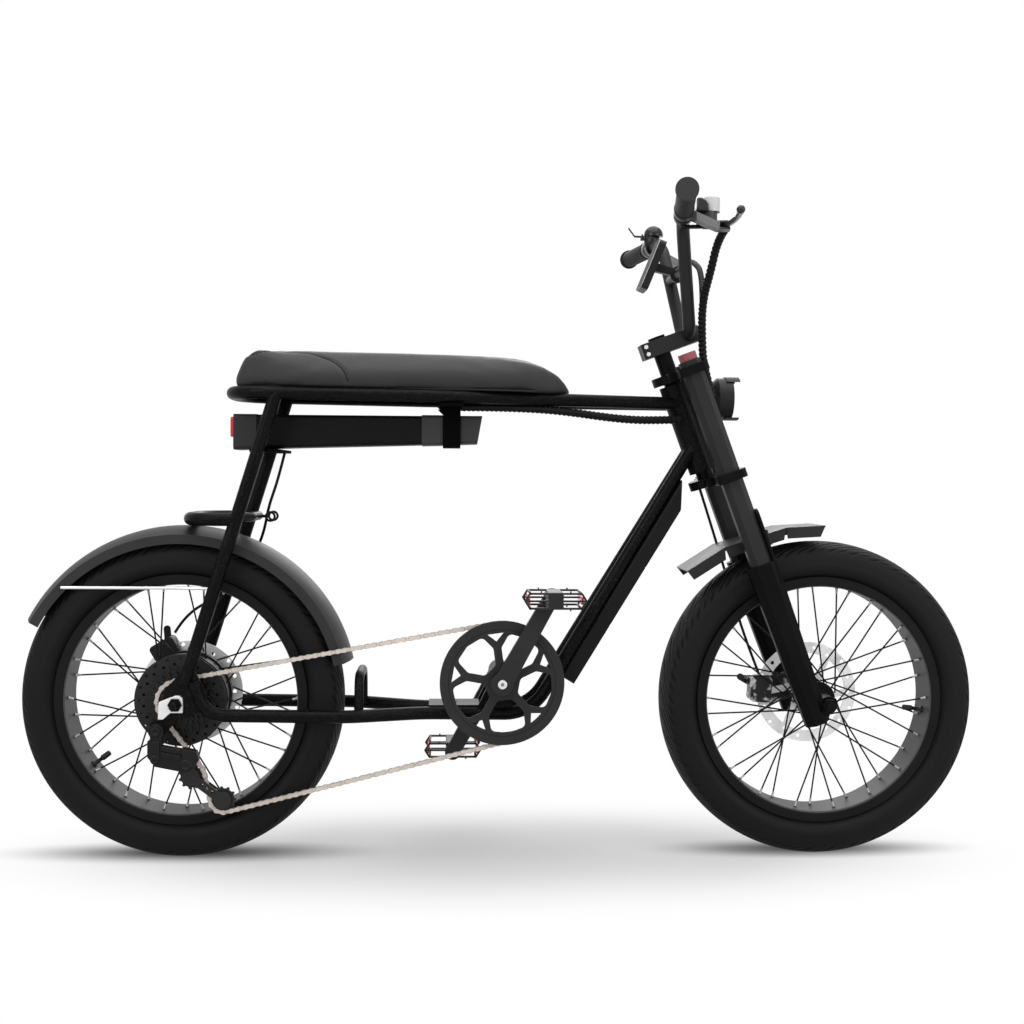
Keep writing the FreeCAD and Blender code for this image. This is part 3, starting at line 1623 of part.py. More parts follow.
def front_brake_caliper():
    body = moved(caliper(front_rotor_y, front_caliper_angle), front_x, 0, axle_z)
    cheek = front_rotor_y + rotor_thickness / 2 + disc_gap
    slider_rear = axle_offset - caliper_inner - caliper_lug / 4
    bracket = block(slider_rear, leg_offset, cheek, leg_y, -axle_drop, -axle_drop + 2 * caliper_half)
    mate = in_fork(slider_body())
    whole = fuse([body, in_fork(bracket)])
    return whole.cut(mate)


def rear_brake_caliper():
    body = moved(caliper(rear_rotor_y, rear_caliper_angle), rear_x, 0, axle_z)
    cheek = rear_rotor_y + rotor_thickness / 2 + disc_gap
    reach, rise = polar(caliper_inner - 2 * disc_gap, rear_caliper_angle)
    x = rear_x + reach
    z = axle_z + rise
    half = caliper_lug / 2
    plate = stay_y - dropout_thickness / 2
    bracket = block(x - half, x + half, cheek, plate, z - half, z + half)
    return fuse([body, bracket])


def brake_arm(disc_y, angle, lift):
    cheek = disc_y + rotor_thickness / 2 + disc_gap + caliper_cheek
    low = cheek + seat_gap / 3
    high = low + brake_arm_thickness
    half = brake_arm_width / 2
    bar = block(0, brake_arm_length, low, high, -half, half)
    arm = fuse([bar, across(half, low, high), across(half, low, high, brake_arm_length, 0)])
    arm = arm.cut(across(brake_pin_radius + running_fit, low - overrun, high + overrun))
    spot = polar((caliper_inner + caliper_outer) / 2, angle)
    return moved(rotated(arm, lift), spot[0], 0, spot[1])


def front_brake_arm():
    return moved(brake_arm(front_rotor_y, front_caliper_angle, front_arm_lift), front_x, 0, axle_z)


def rear_brake_arm():
    return moved(brake_arm(rear_rotor_y, rear_caliper_angle, rear_arm_lift), rear_x, 0, axle_z)


front_arm_lift = 150.0
rear_arm_lift = 95.0


# Cockpit
def bar_route():
    base = fork_point(bar_clamp_n, 0, stem_low + stem_height / 2)
    side = [
        grip_end, bar_corner, Vec(base.x, -bar_base_half, base.z),
    ]
    other = [Vec(point.x, -point.y, point.z) for point in reversed(side)]
    return side + other, [bar_bend_top, bar_bend_low, bar_bend_low, bar_bend_top]


def crossbar_point():
    points, bends = bar_route()
    corner, base = points[1], points[2]
    return base + (corner - base) * crossbar_share


def bar_solid():
    points, bends = bar_route()
    return rod(points, bends, bar_radius)


def handlebar():
    points, bends = bar_route()
    spot = crossbar_point()
    crossbar = stick(spot, Vec(spot.x, -spot.y, spot.z), crossbar_radius)
    outer = bar_solid().fuse(crossbar)
    return outer.cut(rod(points, bends, bar_radius - bar_wall))


def stem():
    high = stem_low + stem_height
    body = block(-stem_rear, stem_front, -stem_half, stem_half, stem_low, high)
    body = round_edges(body, Vec(0, 0, 1), stem_half / 3)
    slot = block(-stem_rear - overrun, 0, -stem_slot / 2, stem_slot / 2, stem_low, high)
    hole = Part.makeCylinder(steerer_radius, stem_height, Vec(0, 0, stem_low))
    bolts = []
    for share in stem_bolt_shares:
        centre = Vec(-stem_rear + stem_bolt_radius * 2, -stem_half, stem_low + stem_height * share)
        bolts.append(Part.makeCylinder(stem_bolt_radius, stem_bolt_height, centre, Vec(0, -1, 0)))
    body = in_fork(fuse([body.cut([slot, hole])] + bolts))
    return body.cut(bar_solid())


stem_bolt_shares = (0.26, 0.74)


def bar_frame(side, station):
    points, bends = bar_route()
    end = Vec(points[0].x, side * abs(points[0].y), points[0].z)
    corner = Vec(points[1].x, side * abs(points[1].y), points[1].z)
    inward = (corner - end).normalize()
    spot = end + inward * station
    along = inward if side < 0 else inward * -1
    return FreeCAD.Placement(spot, FreeCAD.Rotation(Vec(0, 1, 0), along))


def on_bar(shape, side, station):
    placed = shape if side < 0 else mirrored(shape)
    placed = placed.copy()
    placed.Placement = bar_frame(side, station).multiply(placed.Placement)
    return placed


def grips():
    solids = []
    for side in (-1, 1):
        grip = across(grip_radius, 0, grip_length)
        ribs = [washer(grip_radius + overrun, grip_radius - grip_groove, y, y + grip_groove)
                for y in grip_rib_places()]
        flange = across(grip_flange_radius, -grip_flange_width, 0)
        bore = across(bar_radius, 0, grip_length + overrun)
        collar = across(grip_flange_radius - grip_groove, grip_length - grip_flange_width, grip_length)
        solids.append(on_bar(fuse([grip.cut(ribs), flange, collar]).cut(bore), side, 0))
    return Part.makeCompound(solids)


def grip_rib_places():
    step = grip_length / (grip_rib_count + 1)
    return [step * (index + 1 / 2) for index in range(grip_rib_count)]


grip_rib_count = 9
grip_groove = 1.5


def bar_clamp():
    return washer(bar_radius + clamp_thickness, bar_radius, -clamp_width / 2, clamp_width / 2)


def lever_bracket():
    tall = lever_arm_height / 2
    half = lever_arm_width / 2
    bend = lever_reach - lever_fork_length
    root = bar_radius / 2
    outline = [
        (root, tall - lever_root_drop), (bend, tall - lever_drop), (lever_reach, tall - lever_drop),
        (lever_reach, -tall - lever_drop), (bend, -tall - lever_drop), (root, -tall - lever_root_drop),
    ]
    arm = prism(outline, -half, half)
    slot = lever_blade_thickness / 2 + seat_gap
    fork_gap = block(lever_pivot_n() - lever_eye_radius - seat_gap, lever_reach + overrun, -half - overrun,
                     lever_eye_radius + seat_gap, -lever_drop - slot, -lever_drop + slot)
    pin = Part.makeCylinder(lever_pin_radius, lever_arm_height, Vec(lever_pivot_n(), 0, -tall - lever_drop))
    barrel = across(adjuster_radius, half - seat_gap, half + adjuster_length, adjuster_n(), -lever_drop)
    body = fuse([bar_clamp(), arm]).cut([fork_gap, across(bar_radius, -half, half)])
    return fuse([body, pin, barrel])


def adjuster_n():
    return lever_reach - adjuster_radius * adjuster_share


adjuster_share = 1.3


def lever_pivot_n():
    return lever_reach - lever_eye_radius


def lever_brackets():
    return Part.makeCompound([on_bar(lever_bracket(), side, lever_station) for side in (-1, 1)])


def brake_lever(side):
    low = -lever_drop - lever_blade_thickness / 2
    pivot = lever_pivot_n()
    eye = Part.makeCylinder(lever_eye_radius, lever_blade_thickness, Vec(pivot, 0, low))
    crook = pivot + lever_eye_radius * lever_crook_share
    bend = -lever_blade_length * lever_knee_share
    half = lever_blade_width / 2
    outline = [
        (pivot - half, 0), (pivot + half, 0), (crook + half, bend), (crook, -lever_blade_length),
        (crook - lever_blade_width, -lever_blade_length), (crook - half, bend),
    ]
    points = [Vec(x, y, low) for x, y in outline]
    blade = Part.Face(Part.makePolygon(points + points[:1])).extrude(Vec(0, 0, lever_blade_thickness))
    ball = Part.makeSphere(lever_ball_radius, Vec(crook - half, -lever_blade_length, -lever_drop))
    bore = Part.makeCylinder(lever_pin_radius + running_fit, lever_blade_thickness, Vec(pivot, 0, low))
    return on_bar(fuse([eye, blade, ball]).cut(bore), side, lever_station)


lever_crook_share = 2.6
lever_knee_share = 0.22


def shifter_body():
    clamp = bar_clamp()
    centre = Vec(shifter_forward, 0, -shifter_low())
    body = Part.makeCylinder(shifter_radius, shifter_height, centre)
    drum_foot = centre + Vec(drum_radius / 2, 0, shifter_height)
    drum = Part.makeCylinder(drum_radius, drum_height, drum_foot)
    body = fuse([clamp, body, drum]).cut(across(bar_radius, -shifter_radius, shifter_radius))
    pin = Part.makeCylinder(lever_pin_radius, shift_lever_thickness + seat_gap,
                            centre - Vec(0, 0, shift_lever_thickness + seat_gap))
    return on_bar(fuse([body, pin]), -1, shifter_station)


def shifter_low():
    return bar_radius + clamp_thickness + seat_gap


def shift_lever():
    top = -shifter_low() - seat_gap / 2
    low = top - shift_lever_thickness
    half = shift_lever_width / 2
    eye = Part.makeCylinder(shift_lever_width, shift_lever_thickness, Vec(shifter_forward, 0, low))
    bar = block(shifter_forward - shift_lever_length, shifter_forward, -half, half, low, top)
    thumb = Part.makeCylinder(half + shift_lever_thickness / 2, shift_lever_thickness,
                              Vec(shifter_forward - shift_lever_length, 0, low))
    hole = lever_pin_radius + running_fit
    bore = Part.makeCylinder(hole, shift_lever_thickness, Vec(shifter_forward, 0, low))
    return on_bar(fuse([eye, bar, thumb]).cut(bore), -1, shifter_station)


def bell():
    low = bar_radius + bell_rise
    base = Part.makeCylinder(bell_radius / 3, bell_rise, Vec(0, 0, bar_radius))
    dome = Part.makeSphere(bell_radius, Vec(0, 0, low)).common(
        block(-bell_radius, bell_radius, -bell_radius, bell_radius, low, low + bell_height))
    skirt = Part.makeCylinder(bell_radius, clamp_thickness / 2, Vec(0, 0, low - clamp_thickness / 2))
    arm = block(-bell_radius - striker_radius * 4, 0, -striker_radius * 2, striker_radius * 2,
                low - clamp_thickness * 2, low - clamp_thickness)
    pin = Part.makeCylinder(striker_radius, striker_radius * 4,
                            Vec(-bell_radius - striker_radius * 2, 0, low - clamp_thickness))
    body = fuse([bar_clamp(), base, dome, skirt, arm, pin])
    return on_bar(body.cut(across(bar_radius, -bell_radius, bell_radius)), 1, bell_station)


def bell_striker():
    low = bar_radius + bell_rise - clamp_thickness + seat_gap / 2
    pivot = -bell_radius - striker_radius * 2
    eye = Part.makeCylinder(striker_radius * 2, striker_radius * 2, Vec(pivot, 0, low))
    half = striker_radius
    rise = striker_length * striker_rise_share
    back = pivot - striker_length * striker_back_share
    knee = pivot - rise
    high = low + 2 * striker_radius
    outline = [(pivot, low), (pivot, high), (knee, high), (back, high + rise)]
    outline += [(back, low + rise), (knee, low)]
    blade = prism(outline, -half, half)
    bore = Part.makeCylinder(striker_radius + running_fit, 2 * striker_radius, Vec(pivot, 0, low))
    return on_bar(fuse([eye, blade]).cut(bore), 1, bell_station)


striker_back_share = 0.9
striker_rise_share = 0.5


def display():
    spot = crossbar_point()
    half = clamp_width / 2
    ring = washer(crossbar_radius + clamp_thickness, crossbar_radius, -half, half, spot.x, spot.z)
    slab = block(-display_thickness / 2, display_thickness / 2, -display_width / 2, display_width / 2,
                 -display_height / 2, display_height / 2)
    slab = round_edges(slab, Vec(1, 0, 0), display_corner)
    slab.Placement = FreeCAD.Placement(Vec(spot.x - display_back, 0, spot.z + display_rise),
                                       FreeCAD.Rotation(Vec(0, 1, 0), display_lean))
    half = display_arm_width / 2
    back = spot.x - display_back
    arm = prism([(spot.x, spot.z - half / 2), (spot.x, spot.z + half), (back, spot.z + display_rise + half),
                 (back, spot.z + display_rise - half)], -half, half)
    arm = arm.cut(across(crossbar_radius, -display_width, display_width, spot.x, spot.z))
    return fuse([ring, arm, slab])


# Headlight
def light_frame(shape):
    placed = shape.copy()
    placed.Placement = FreeCAD.Placement(light_origin(), FreeCAD.Rotation(Vec(0, 0, 1), -90))
    return placed


def light_origin():
    return fork_point(light_gap, 0, light_t)


def headlight_housing():
    back = light_length * light_back_share
    front = light_length
    bowl = turned([
        (0, 0), (light_back_radius, 0), (light_radius, back), (light_radius, front),
        (light_radius - light_wall, front), (light_radius - light_wall, back + light_wall),
        (light_back_radius - light_wall, light_wall), (0, light_wall),
    ])
    hood = washer(light_radius + visor_thickness, light_radius, front - visor_length, front + visor_length)
    wide = light_radius * 2
    brim = light_radius * visor_share
    brims = [block(-wide, wide, 0, front + 2 * visor_length, brim, wide)]
    brims.append(block(-wide, wide, 0, front + 2 * visor_length, -wide, -light_radius * chin_share))
    bowl = light_frame(fuse([bowl] + [hood.common(keep) for keep in brims]))
    half = light_strap_width / 2
    strap_top = crown_top - crown_thickness / 2
    strap = block(crown_web_front - light_strap_thickness, light_gap, -half, half, light_t, strap_top)
    strap_low = light_t + light_back_radius
    strap = strap.cut(block(crown_web_front, light_gap + overrun, -half, half, strap_low, strap_top))
    return fuse([bowl, in_fork(strap).cut(light_frame(across(light_radius, 0, light_length)))])


light_back_share = 0.45
visor_share = 0.78
chin_share = 0.92


def headlight_lens():
    front = light_length - lens_thickness
    return light_frame(across(light_radius - light_wall, front - lens_thickness, front))


# Cable bundles, each held along its route
def bundle(points, radius):
    bends = []
    for before, corner, after in zip(points, points[1:], points[2:]):
        shorter = min((corner - before).Length, (after - corner).Length)
        turn = math.pi - (before - corner).getAngle(after - corner)
        bends.append(bundle_share * shorter / math.tan(turn / 2))
    return rod(points, bends, radius)


bundle_share = 0.45


def beside(origin, spots):
    return [origin + Vec(*spot) for spot in spots]


def fork_points(spots):
    return [fork_point(*spot) for spot in spots]


def adjuster_end(side):
    reach = lever_arm_width / 2 + adjuster_length
    local = Vec(adjuster_n(), reach if side < 0 else -reach, -lever_drop)
    return bar_frame(side, lever_station).multVec(local)


bar_loom_y = -44.0
bar_loom_n = crown_web_front + loom_radius + seat_gap
# from the right lever's adjuster, beside the handlebar, and down the front of the upper crown
bar_loom_spots = ((56, -18, -34), (49, 2, -81), (44, 38, -128), (49, 60, -186))
bar_loom_route = [adjuster_end(-1)] + beside(bar_corner, bar_loom_spots)
bar_loom_ends = ((bar_loom_n, bar_loom_y, crown_top), (bar_loom_n, bar_loom_y, crown_top / 2))
bar_loom_route += fork_points(bar_loom_ends)
# from the left lever's adjuster across to the bundle
left_strand_spots = ((56, 238, -30), (51, 172, -40), (46, 90, -84), (44, 38, -128))
left_strand_route = [adjuster_end(1)] + beside(bar_corner, left_strand_spots)
# behind the left leg: forward of the head axis, to the left, and above the axle along the axis
front_cable_spots = ((-8, 50, 414), (-10, 57, 332), (-14, 63, 232), (-20, 62, 132), (-18, 58.9, 57.5))
front_cable_route = [fork_point(n, y, rise - axle_drop) for n, y, rise in front_cable_spots]
# from the head tube's side, along under the near rail, to the battery's cradle
frame_loom_start = ((-12, -28, 18),)
frame_loom_shares = (0.8, 0.69, 0.57, 0.44, 0.3, 0.13, 0.0, -0.097)
frame_loom_asides = (-36, -39, -42, -46, -49, -50, -50, -50)
frame_loom_drops = (31, 30.5, 27, 21.5, 17, 15.5, 15.5, 16)


def frame_loom_spot(share, aside, drop):
    x = battery_front_x + (head_origin.x - battery_front_x) * share
    return Vec(x, aside, rail_point(x, 0).z - drop)


frame_loom_route = fork_points(frame_loom_start)
frame_loom_route += [
    frame_loom_spot(*spot) for spot in zip(frame_loom_shares, frame_loom_asides, frame_loom_drops)
]
# from the cradle's plate, past its ring, beside the rear guard and down to the rear brake
rear_cable_run_shares = (1.0, 0.9645, 0.8985, 0.863, 0.797, 0.665, 0.411, 0.1066, 0.0)
rear_cable_rise_shares = (1.0, 0.858, 0.708, 0.595, 0.5075, 0.363, 0.207, 0.113, 0.0)
rear_cable_asides = (27, 27, 30, 44, 62.5, 62.5, 62.5, 62.5, 63)
rear_cable_inset = 5.5
rear_cable_end_back = 31.0
rear_cable_end_rise = 103.0
rear_cable_end = Vec(rear_x - rear_cable_end_back, 0, axle_z + rear_cable_end_rise)


def rear_cable_spot(run, rise, aside):
    front, foot = cradle_plate_edge()
    x = rear_cable_end.x + (front - rear_cable_inset - rear_cable_end.x) * run
    z = rear_cable_end.z + (foot - rear_cable_end.z) * rise
    return Vec(x, aside, z)


rear_cable_route = [
    rear_cable_spot(*spot) for spot in zip(rear_cable_run_shares, rear_cable_rise_shares, rear_cable_asides)
]


def bar_cable_loom():
    strands = fuse([bundle(bar_loom_route, loom_radius), bundle(left_strand_route, left_strand_radius)])
    return Part.makeCompound([strands, bundle(front_cable_route, cable_radius)])


def frame_cable_loom():
    loom = bundle(frame_loom_route, frame_loom_radius)
    cable = bundle(rear_cable_route, cable_radius)
    return Part.makeCompound([loom.cut(battery_cradle()), cable.cut(battery_cradle())])


def at_front(shape):
    return moved(shape, front_x, 0, axle_z)


def at_rear(shape):
    return moved(shape, rear_x, 0, axle_z)


nodes = {
    "head_tube": head_tube(),
    "headset_bearings": headset_bearings(),
    "top_rail_loop": top_rail_loop(),
    "seat_stays": seat_stays(),
    "lower_tubes": lower_tubes(),
    "bottom_bracket_shell": bottom_bracket_shell(),
    "frame_bridges": frame_bridges(),
    "battery_cradle": battery_cradle(),
    "seat_base": seat_base(),
    "seat_pad": seat_pad(),
    "battery_case": battery_case(),
    "tail_light_lens": tail_light_lens(),
    "controller_box": controller_box(),
    "rear_fender": rear_fender(),
    "rear_brake_caliper": rear_brake_caliper(),
    "rear_axle": rear_axle(),
    "chain": chain(),
    "frame_cable_loom": frame_cable_loom(),
    "derailleur_body": derailleur_body(),
    "fork_crowns": fork_crowns(),
    "fork_upper_legs": fork_upper_legs(),
    "stem": stem(),
    "handlebar": handlebar(),
    "grips": grips(),
    "lever_brackets": lever_brackets(),
    "shifter_body": shifter_body(),
    "bell": bell(),
    "display": display(),
    "headlight_housing": headlight_housing(),
    "headlight_lens": headlight_lens(),
    "bar_cable_loom": bar_cable_loom(),
    "preload_knob": preload_knob(),
    "fork_sliders": fork_sliders(),
    "front_fender": front_fender(),
    "front_axle": front_axle(),
    "front_brake_caliper": front_brake_caliper(),
    "front_tyre": at_front(tyre()),
    "front_rim": at_front(rim()),
    "front_spokes": at_front(spokes(front_flange_radius, front_flange_y, front_cross_angle)),
    "front_hub": at_front(front_hub()),
    "front_rotor": at_front(brake_disc(front_rotor_y, front_axle_radius * 2)),
    "rear_tyre": at_rear(tyre()),
    "rear_rim": at_rear(rim()),
    "rear_spokes": at_rear(spokes(motor_radius, motor_rim_half - spoke_spread, rear_cross_angle)),
    "motor_hub": at_rear(motor_hub()),
    "rear_rotor": at_rear(brake_disc(rear_rotor_y, rear_axle_radius * 2)),
    "crank_set": crank_set(),
    "chainring": chainring(),
    "pedal_right": pedal(-1),
    "pedal_left": pedal(1),
    "cassette": cassette(),
    "brake_lever_right": brake_lever(-1),
    "brake_lever_left": brake_lever(1),
    "front_brake_arm": front_brake_arm(),
    "rear_brake_arm": rear_brake_arm(),
    "shift_lever": shift_lever(),
    "bell_striker": bell_striker(),
    "derailleur_cage": derailleur_cage(),
    "guide_pulley": pulley(guide_centre),
    "tension_pulley": pulley(tension_centre),
}

for name, shape in nodes.items():
    solids = shape.Solids
    if not shape.isValid() or not solids:
        print("check", name, "valid", shape.isValid(), "solids", len(solids))
    shape.exportStep("parts/" + name + ".step")
print(len(nodes), "nodes written")
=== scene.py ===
import bpy
import bmesh
import math
from mathutils import Vector, Matrix
from mathutils.bvhtree import BVHTree


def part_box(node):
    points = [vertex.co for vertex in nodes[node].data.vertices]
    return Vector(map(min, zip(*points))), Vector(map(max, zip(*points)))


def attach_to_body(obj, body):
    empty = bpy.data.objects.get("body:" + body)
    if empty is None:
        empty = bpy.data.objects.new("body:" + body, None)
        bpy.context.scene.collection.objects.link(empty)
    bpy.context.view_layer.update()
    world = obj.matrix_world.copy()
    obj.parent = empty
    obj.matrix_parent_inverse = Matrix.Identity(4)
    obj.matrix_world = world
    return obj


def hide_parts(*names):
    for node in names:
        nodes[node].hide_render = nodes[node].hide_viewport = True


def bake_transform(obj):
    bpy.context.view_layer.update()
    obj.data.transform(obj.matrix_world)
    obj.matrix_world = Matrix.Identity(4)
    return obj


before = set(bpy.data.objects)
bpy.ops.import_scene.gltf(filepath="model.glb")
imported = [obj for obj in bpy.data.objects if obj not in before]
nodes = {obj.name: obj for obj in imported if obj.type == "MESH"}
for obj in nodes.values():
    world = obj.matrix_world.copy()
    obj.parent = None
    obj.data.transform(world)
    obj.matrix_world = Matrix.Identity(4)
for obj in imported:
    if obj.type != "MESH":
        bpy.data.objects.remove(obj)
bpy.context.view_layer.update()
print("frame loaded:", len(nodes), "nodes")

# camera, at the photograph's place
cameraSet = {"place": (-0.0932, -2.327, 0.6605), "yaw": 0.046, "pitch": -0.027, "roll": 0.007, "lens": 46.94,
             "sensor": 36, "clip": 0.01}


def placeCamera():
    yaw, pitch, roll = cameraSet["yaw"], cameraSet["pitch"], cameraSet["roll"]
    ahead = Vector((math.sin(yaw) * math.cos(pitch), math.cos(yaw) * math.cos(pitch), math.sin(pitch)))
    right = Vector((math.cos(yaw), -math.sin(yaw), 0))
    up = right.cross(ahead)
    tiltedRight = right * math.cos(roll) + up * math.sin(roll)
    tiltedUp = up * math.cos(roll) - right * math.sin(roll)
    data = bpy.data.cameras.new("photoCamera")
    data.lens = cameraSet["lens"]
    data.sensor_width = cameraSet["sensor"]
    data.clip_start = cameraSet["clip"]
    camera = bpy.data.objects.new("photoCamera", data)
    bpy.context.collection.objects.link(camera)
    turn = Matrix((tiltedRight, tiltedUp, -ahead)).transposed().to_4x4()
    camera.matrix_world = Matrix.Translation(cameraSet["place"]) @ turn
    bpy.context.scene.camera = camera


placeCamera()
bpy.context.scene.view_settings.view_transform = "Standard"


# pieces in general
def addMesh(name, points, faces, smooth=True):
    mesh = bpy.data.meshes.new(name)
    mesh.from_pydata([tuple(point) for point in points], [], faces)
    sorter = bmesh.new()
    sorter.from_mesh(mesh)
    bmesh.ops.recalc_face_normals(sorter, faces=sorter.faces)  # every face looks outwards
    sorter.to_mesh(mesh)
    sorter.free()
    if smooth:
        mesh.shade_smooth()
    piece = bpy.data.objects.new(name, mesh)
    bpy.context.collection.objects.link(piece)
    return piece


def ringFaces(rings, sides):
    faces = []
    for ring in range(rings - 1):
        low = ring * sides
        for corner in range(sides):
            after = (corner + 1) % sides
            faces.append((low + corner, low + after, low + sides + after, low + sides + corner))
    last = (rings - 1) * sides
    faces.append(tuple(reversed(range(sides))))
    faces.append(tuple(range(last, last + sides)))
    return faces


def circle(across, side, sides):
    turns = [2 * math.pi * corner / sides for corner in range(sides)]
    return [(turn, across * math.cos(turn) + side * math.sin(turn)) for turn in turns]


def tubeMesh(name, line, radiusAt, sides):
    points = []
    ahead = (line[1] - line[0]).normalized()
    across = ahead.orthogonal().normalized()
    run = 0
    for index, spot in enumerate(line):
        if index:
            run += (spot - line[index - 1]).length
        nextSpot = line[min(index + 1, len(line) - 1)]
        lastSpot = line[max(index - 1, 0)]
        ahead = (nextSpot - lastSpot).normalized()
        across = (across - ahead * across.dot(ahead)).normalized()
        for turn, outward in circle(across, ahead.cross(across), sides):
            points.append(spot + outward * radiusAt(run, turn))
    return addMesh(name, points, ringFaces(len(line), sides))


def lathed(name, base, axis, outline, sides=20):
    # outline: pairs of distance along the axis and radius
    axis = Vector(axis).normalized()
    across = axis.orthogonal().normalized()
    around = circle(across, axis.cross(across), sides)
    points = []
    for along, radius in outline:
        points += [Vector(base) + axis * along + outward * radius for turn, outward in around]
    return addMesh(name, points, ringFaces(len(outline), sides))


def sweptBar(name, line, halves, up, sides=16):
    # halves: half width and half height along up, a pair for each point
    points = []
    for index, spot in enumerate(line):
        ahead = (line[min(index + 1, len(line) - 1)] - line[max(index - 1, 0)]).normalized()
        across = ahead.cross(up).normalized()
        rise = across.cross(ahead)
        wide, tall = halves[index]
        for corner in range(sides):
            turn = 2 * math.pi * corner / sides
            points.append(spot + across * math.cos(turn) * wide + rise * math.sin(turn) * tall)
    return addMesh(name, points, ringFaces(len(line), sides))


def roundEdges(piece, edge):
    rounded = piece.modifiers.new("edges", "BEVEL")
    rounded.width = edge
    rounded.segments = 2
    applied(piece)
    return piece


def plateMesh(name, outline, nearY, farY, edge):
    # outline: x and z pairs; the edges are rounded by edge
    points = [(x, y, z) for y in (nearY, farY) for x, z in outline]
    return roundEdges(addMesh(name, points, ringFaces(2, len(outline)), smooth=False), edge)


def ringPlate(name, outer, inner, nearY, farY, edge):
    count = len(outer)
    points = [(x, y, z) for y in (nearY, farY) for loop in (outer, inner) for x, z in loop]
    faces = []
    for index in range(count):
        after = (index + 1) % count
        near, nearIn, far, farIn = ((count * loop + index, count * loop + after) for loop in range(4))
        for first, second in ((near, nearIn), (far, farIn), (near, far), (nearIn, farIn)):
            faces.append((*first, *reversed(second)))
    return roundEdges(addMesh(name, points, faces, smooth=False), edge)


def applied(piece):
    graph = bpy.context.evaluated_depsgraph_get()
    mesh = bpy.data.meshes.new_from_object(piece.evaluated_get(graph))
    piece.modifiers.clear()
    piece.data = mesh


def joined(name, pieces):
    points, faces, smooth = [], [], []
    for piece in pieces:
        start = len(points)
        points += [vertex.co.copy() for vertex in piece.data.vertices]
        for face in piece.data.polygons:
            faces.append(tuple(start + index for index in face.vertices))
            smooth.append(face.use_smooth)
        bpy.data.objects.remove(piece)
    whole = addMesh(name, points, faces)
    for face, value in zip(whole.data.polygons, smooth):
        face.use_smooth = value
    return whole


# the body that carries a piece, and the solid that it stands for
def attach(piece, body, node=None):
    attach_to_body(piece, body)
    if node:
        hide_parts(node)
    return piece


# cables: each route follows its solid's line, with some points moved towards the photograph's cable
cordShape = {"wrapped": {"steps": 70, "sides": 14}, "plain": {"steps": 14, "sides": 10}}
cableSet = {
    "barLoom": {
        "route": [(0.349039, -0.164713, 1.062424), (0.345005, -0.128, 1.052031), (0.338005, -0.108, 1.005031),
                  (0.331005, -0.072, 0.958031), (0.335005, -0.05, 0.900031), (0.3395, -0.046, 0.848886),
                  (0.3555, -0.046, 0.7985)],
        "radius": 0.0072, "pitch": 0.0078, "ridge": 0.0021, "body": "steering", "node": "bar_cable_loom",
    },
    "leftStrand": {
        "route": [(0.349039, 0.164713, 1.062424), (0.345005, 0.128, 1.056031), (0.340005, 0.062, 1.046031),
                  (0.339005, -0.027, 1.015031), (0.331005, -0.072, 0.958031)],
        "radius": 0.0052, "pitch": 0.0078, "ridge": 0.0016, "body": "steering", "node": "bar_cable_loom",
    },
    "frontCable": {
        "route": [(0.351971, 0.05, 0.643164), (0.378544, 0.057, 0.565563), (0.409486, 0.063, 0.470386),
                  (0.438552, 0.062, 0.374516), (0.466275, 0.0589, 0.305337)],
        "radius": 0.0025, "pitch": 0, "ridge": 0, "node": "bar_cable_loom",
    },
    "frameLoom": {
        "route": [(0.304506, -0.028, 0.75995), (0.249804, -0.036, 0.757769), (0.210094, -0.039, 0.758782),
                  (0.166773, -0.042, 0.762841), (0.119842, -0.046, 0.768947), (0.069302, -0.049, 0.7741),
                  (0.007931, -0.05, 0.776392), (-0.039, -0.05, 0.776998), (-0.074017, -0.05, 0.776951)],
        "radius": 0.0072, "pitch": 0.0078, "ridge": 0.0019, "body": "frame", "node": "frame_cable_loom",
    },
    "rearCable": {
        "route": [(-0.383806, 0.027, 0.697498), (-0.394807, 0.027, 0.65213), (-0.411822, 0.03, 0.604205),
                  (-0.419822, 0.044, 0.568102), (-0.430837, 0.0625, 0.540145), (-0.452866, 0.0625, 0.493978),
                  (-0.499953, 0.0625, 0.444136), (-0.559979, 0.0625, 0.414103), (-0.581, 0.063, 0.378)],
        "radius": 0.0025, "pitch": 0, "ridge": 0, "body": "frame", "node": "frame_cable_loom",
    },
}


def routeLine(route, steps):
    curve = bpy.data.curves.new("routeLine", "CURVE")
    curve.dimensions = "3D"
    curve.resolution_u = steps
    spline = curve.splines.new("NURBS")
    spline.points.add(len(route) - 1)
    for point, spot in zip(spline.points, route):
        point.co = (*spot, 1)
    spline.order_u = 3
    spline.use_endpoint_u = True
    holder = bpy.data.objects.new("routeLine", curve)
    mesh = bpy.data.meshes.new_from_object(holder)
    line = [vertex.co.copy() for vertex in mesh.vertices]
    bpy.data.objects.remove(holder)
    bpy.data.curves.remove(curve)
    bpy.data.meshes.remove(mesh)
    return line


def makeCable(name):
    values = cableSet[name]
    radius, pitch, ridge = values["radius"], values["pitch"], values["ridge"]
    shape = cordShape["wrapped" if pitch else "plain"]
    line = routeLine(values["route"], shape["steps"])

    def radiusAt(run, turn):
        if not pitch:
            return radius
        wrap = (run / pitch - turn / (2 * math.pi)) % 1  # spiral wrap, one turn per pitch
        return radius - ridge * (1 - math.sin(math.pi * wrap) ** 0.5)

    piece = tubeMesh(name, line, radiusAt, shape["sides"])
    if name == "frontCable":
        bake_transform(piece)
    else:
        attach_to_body(piece, values["body"])
    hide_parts(values["node"])
    return piece


cables = {name: makeCable(name) for name in cableSet}
print("cables laid")

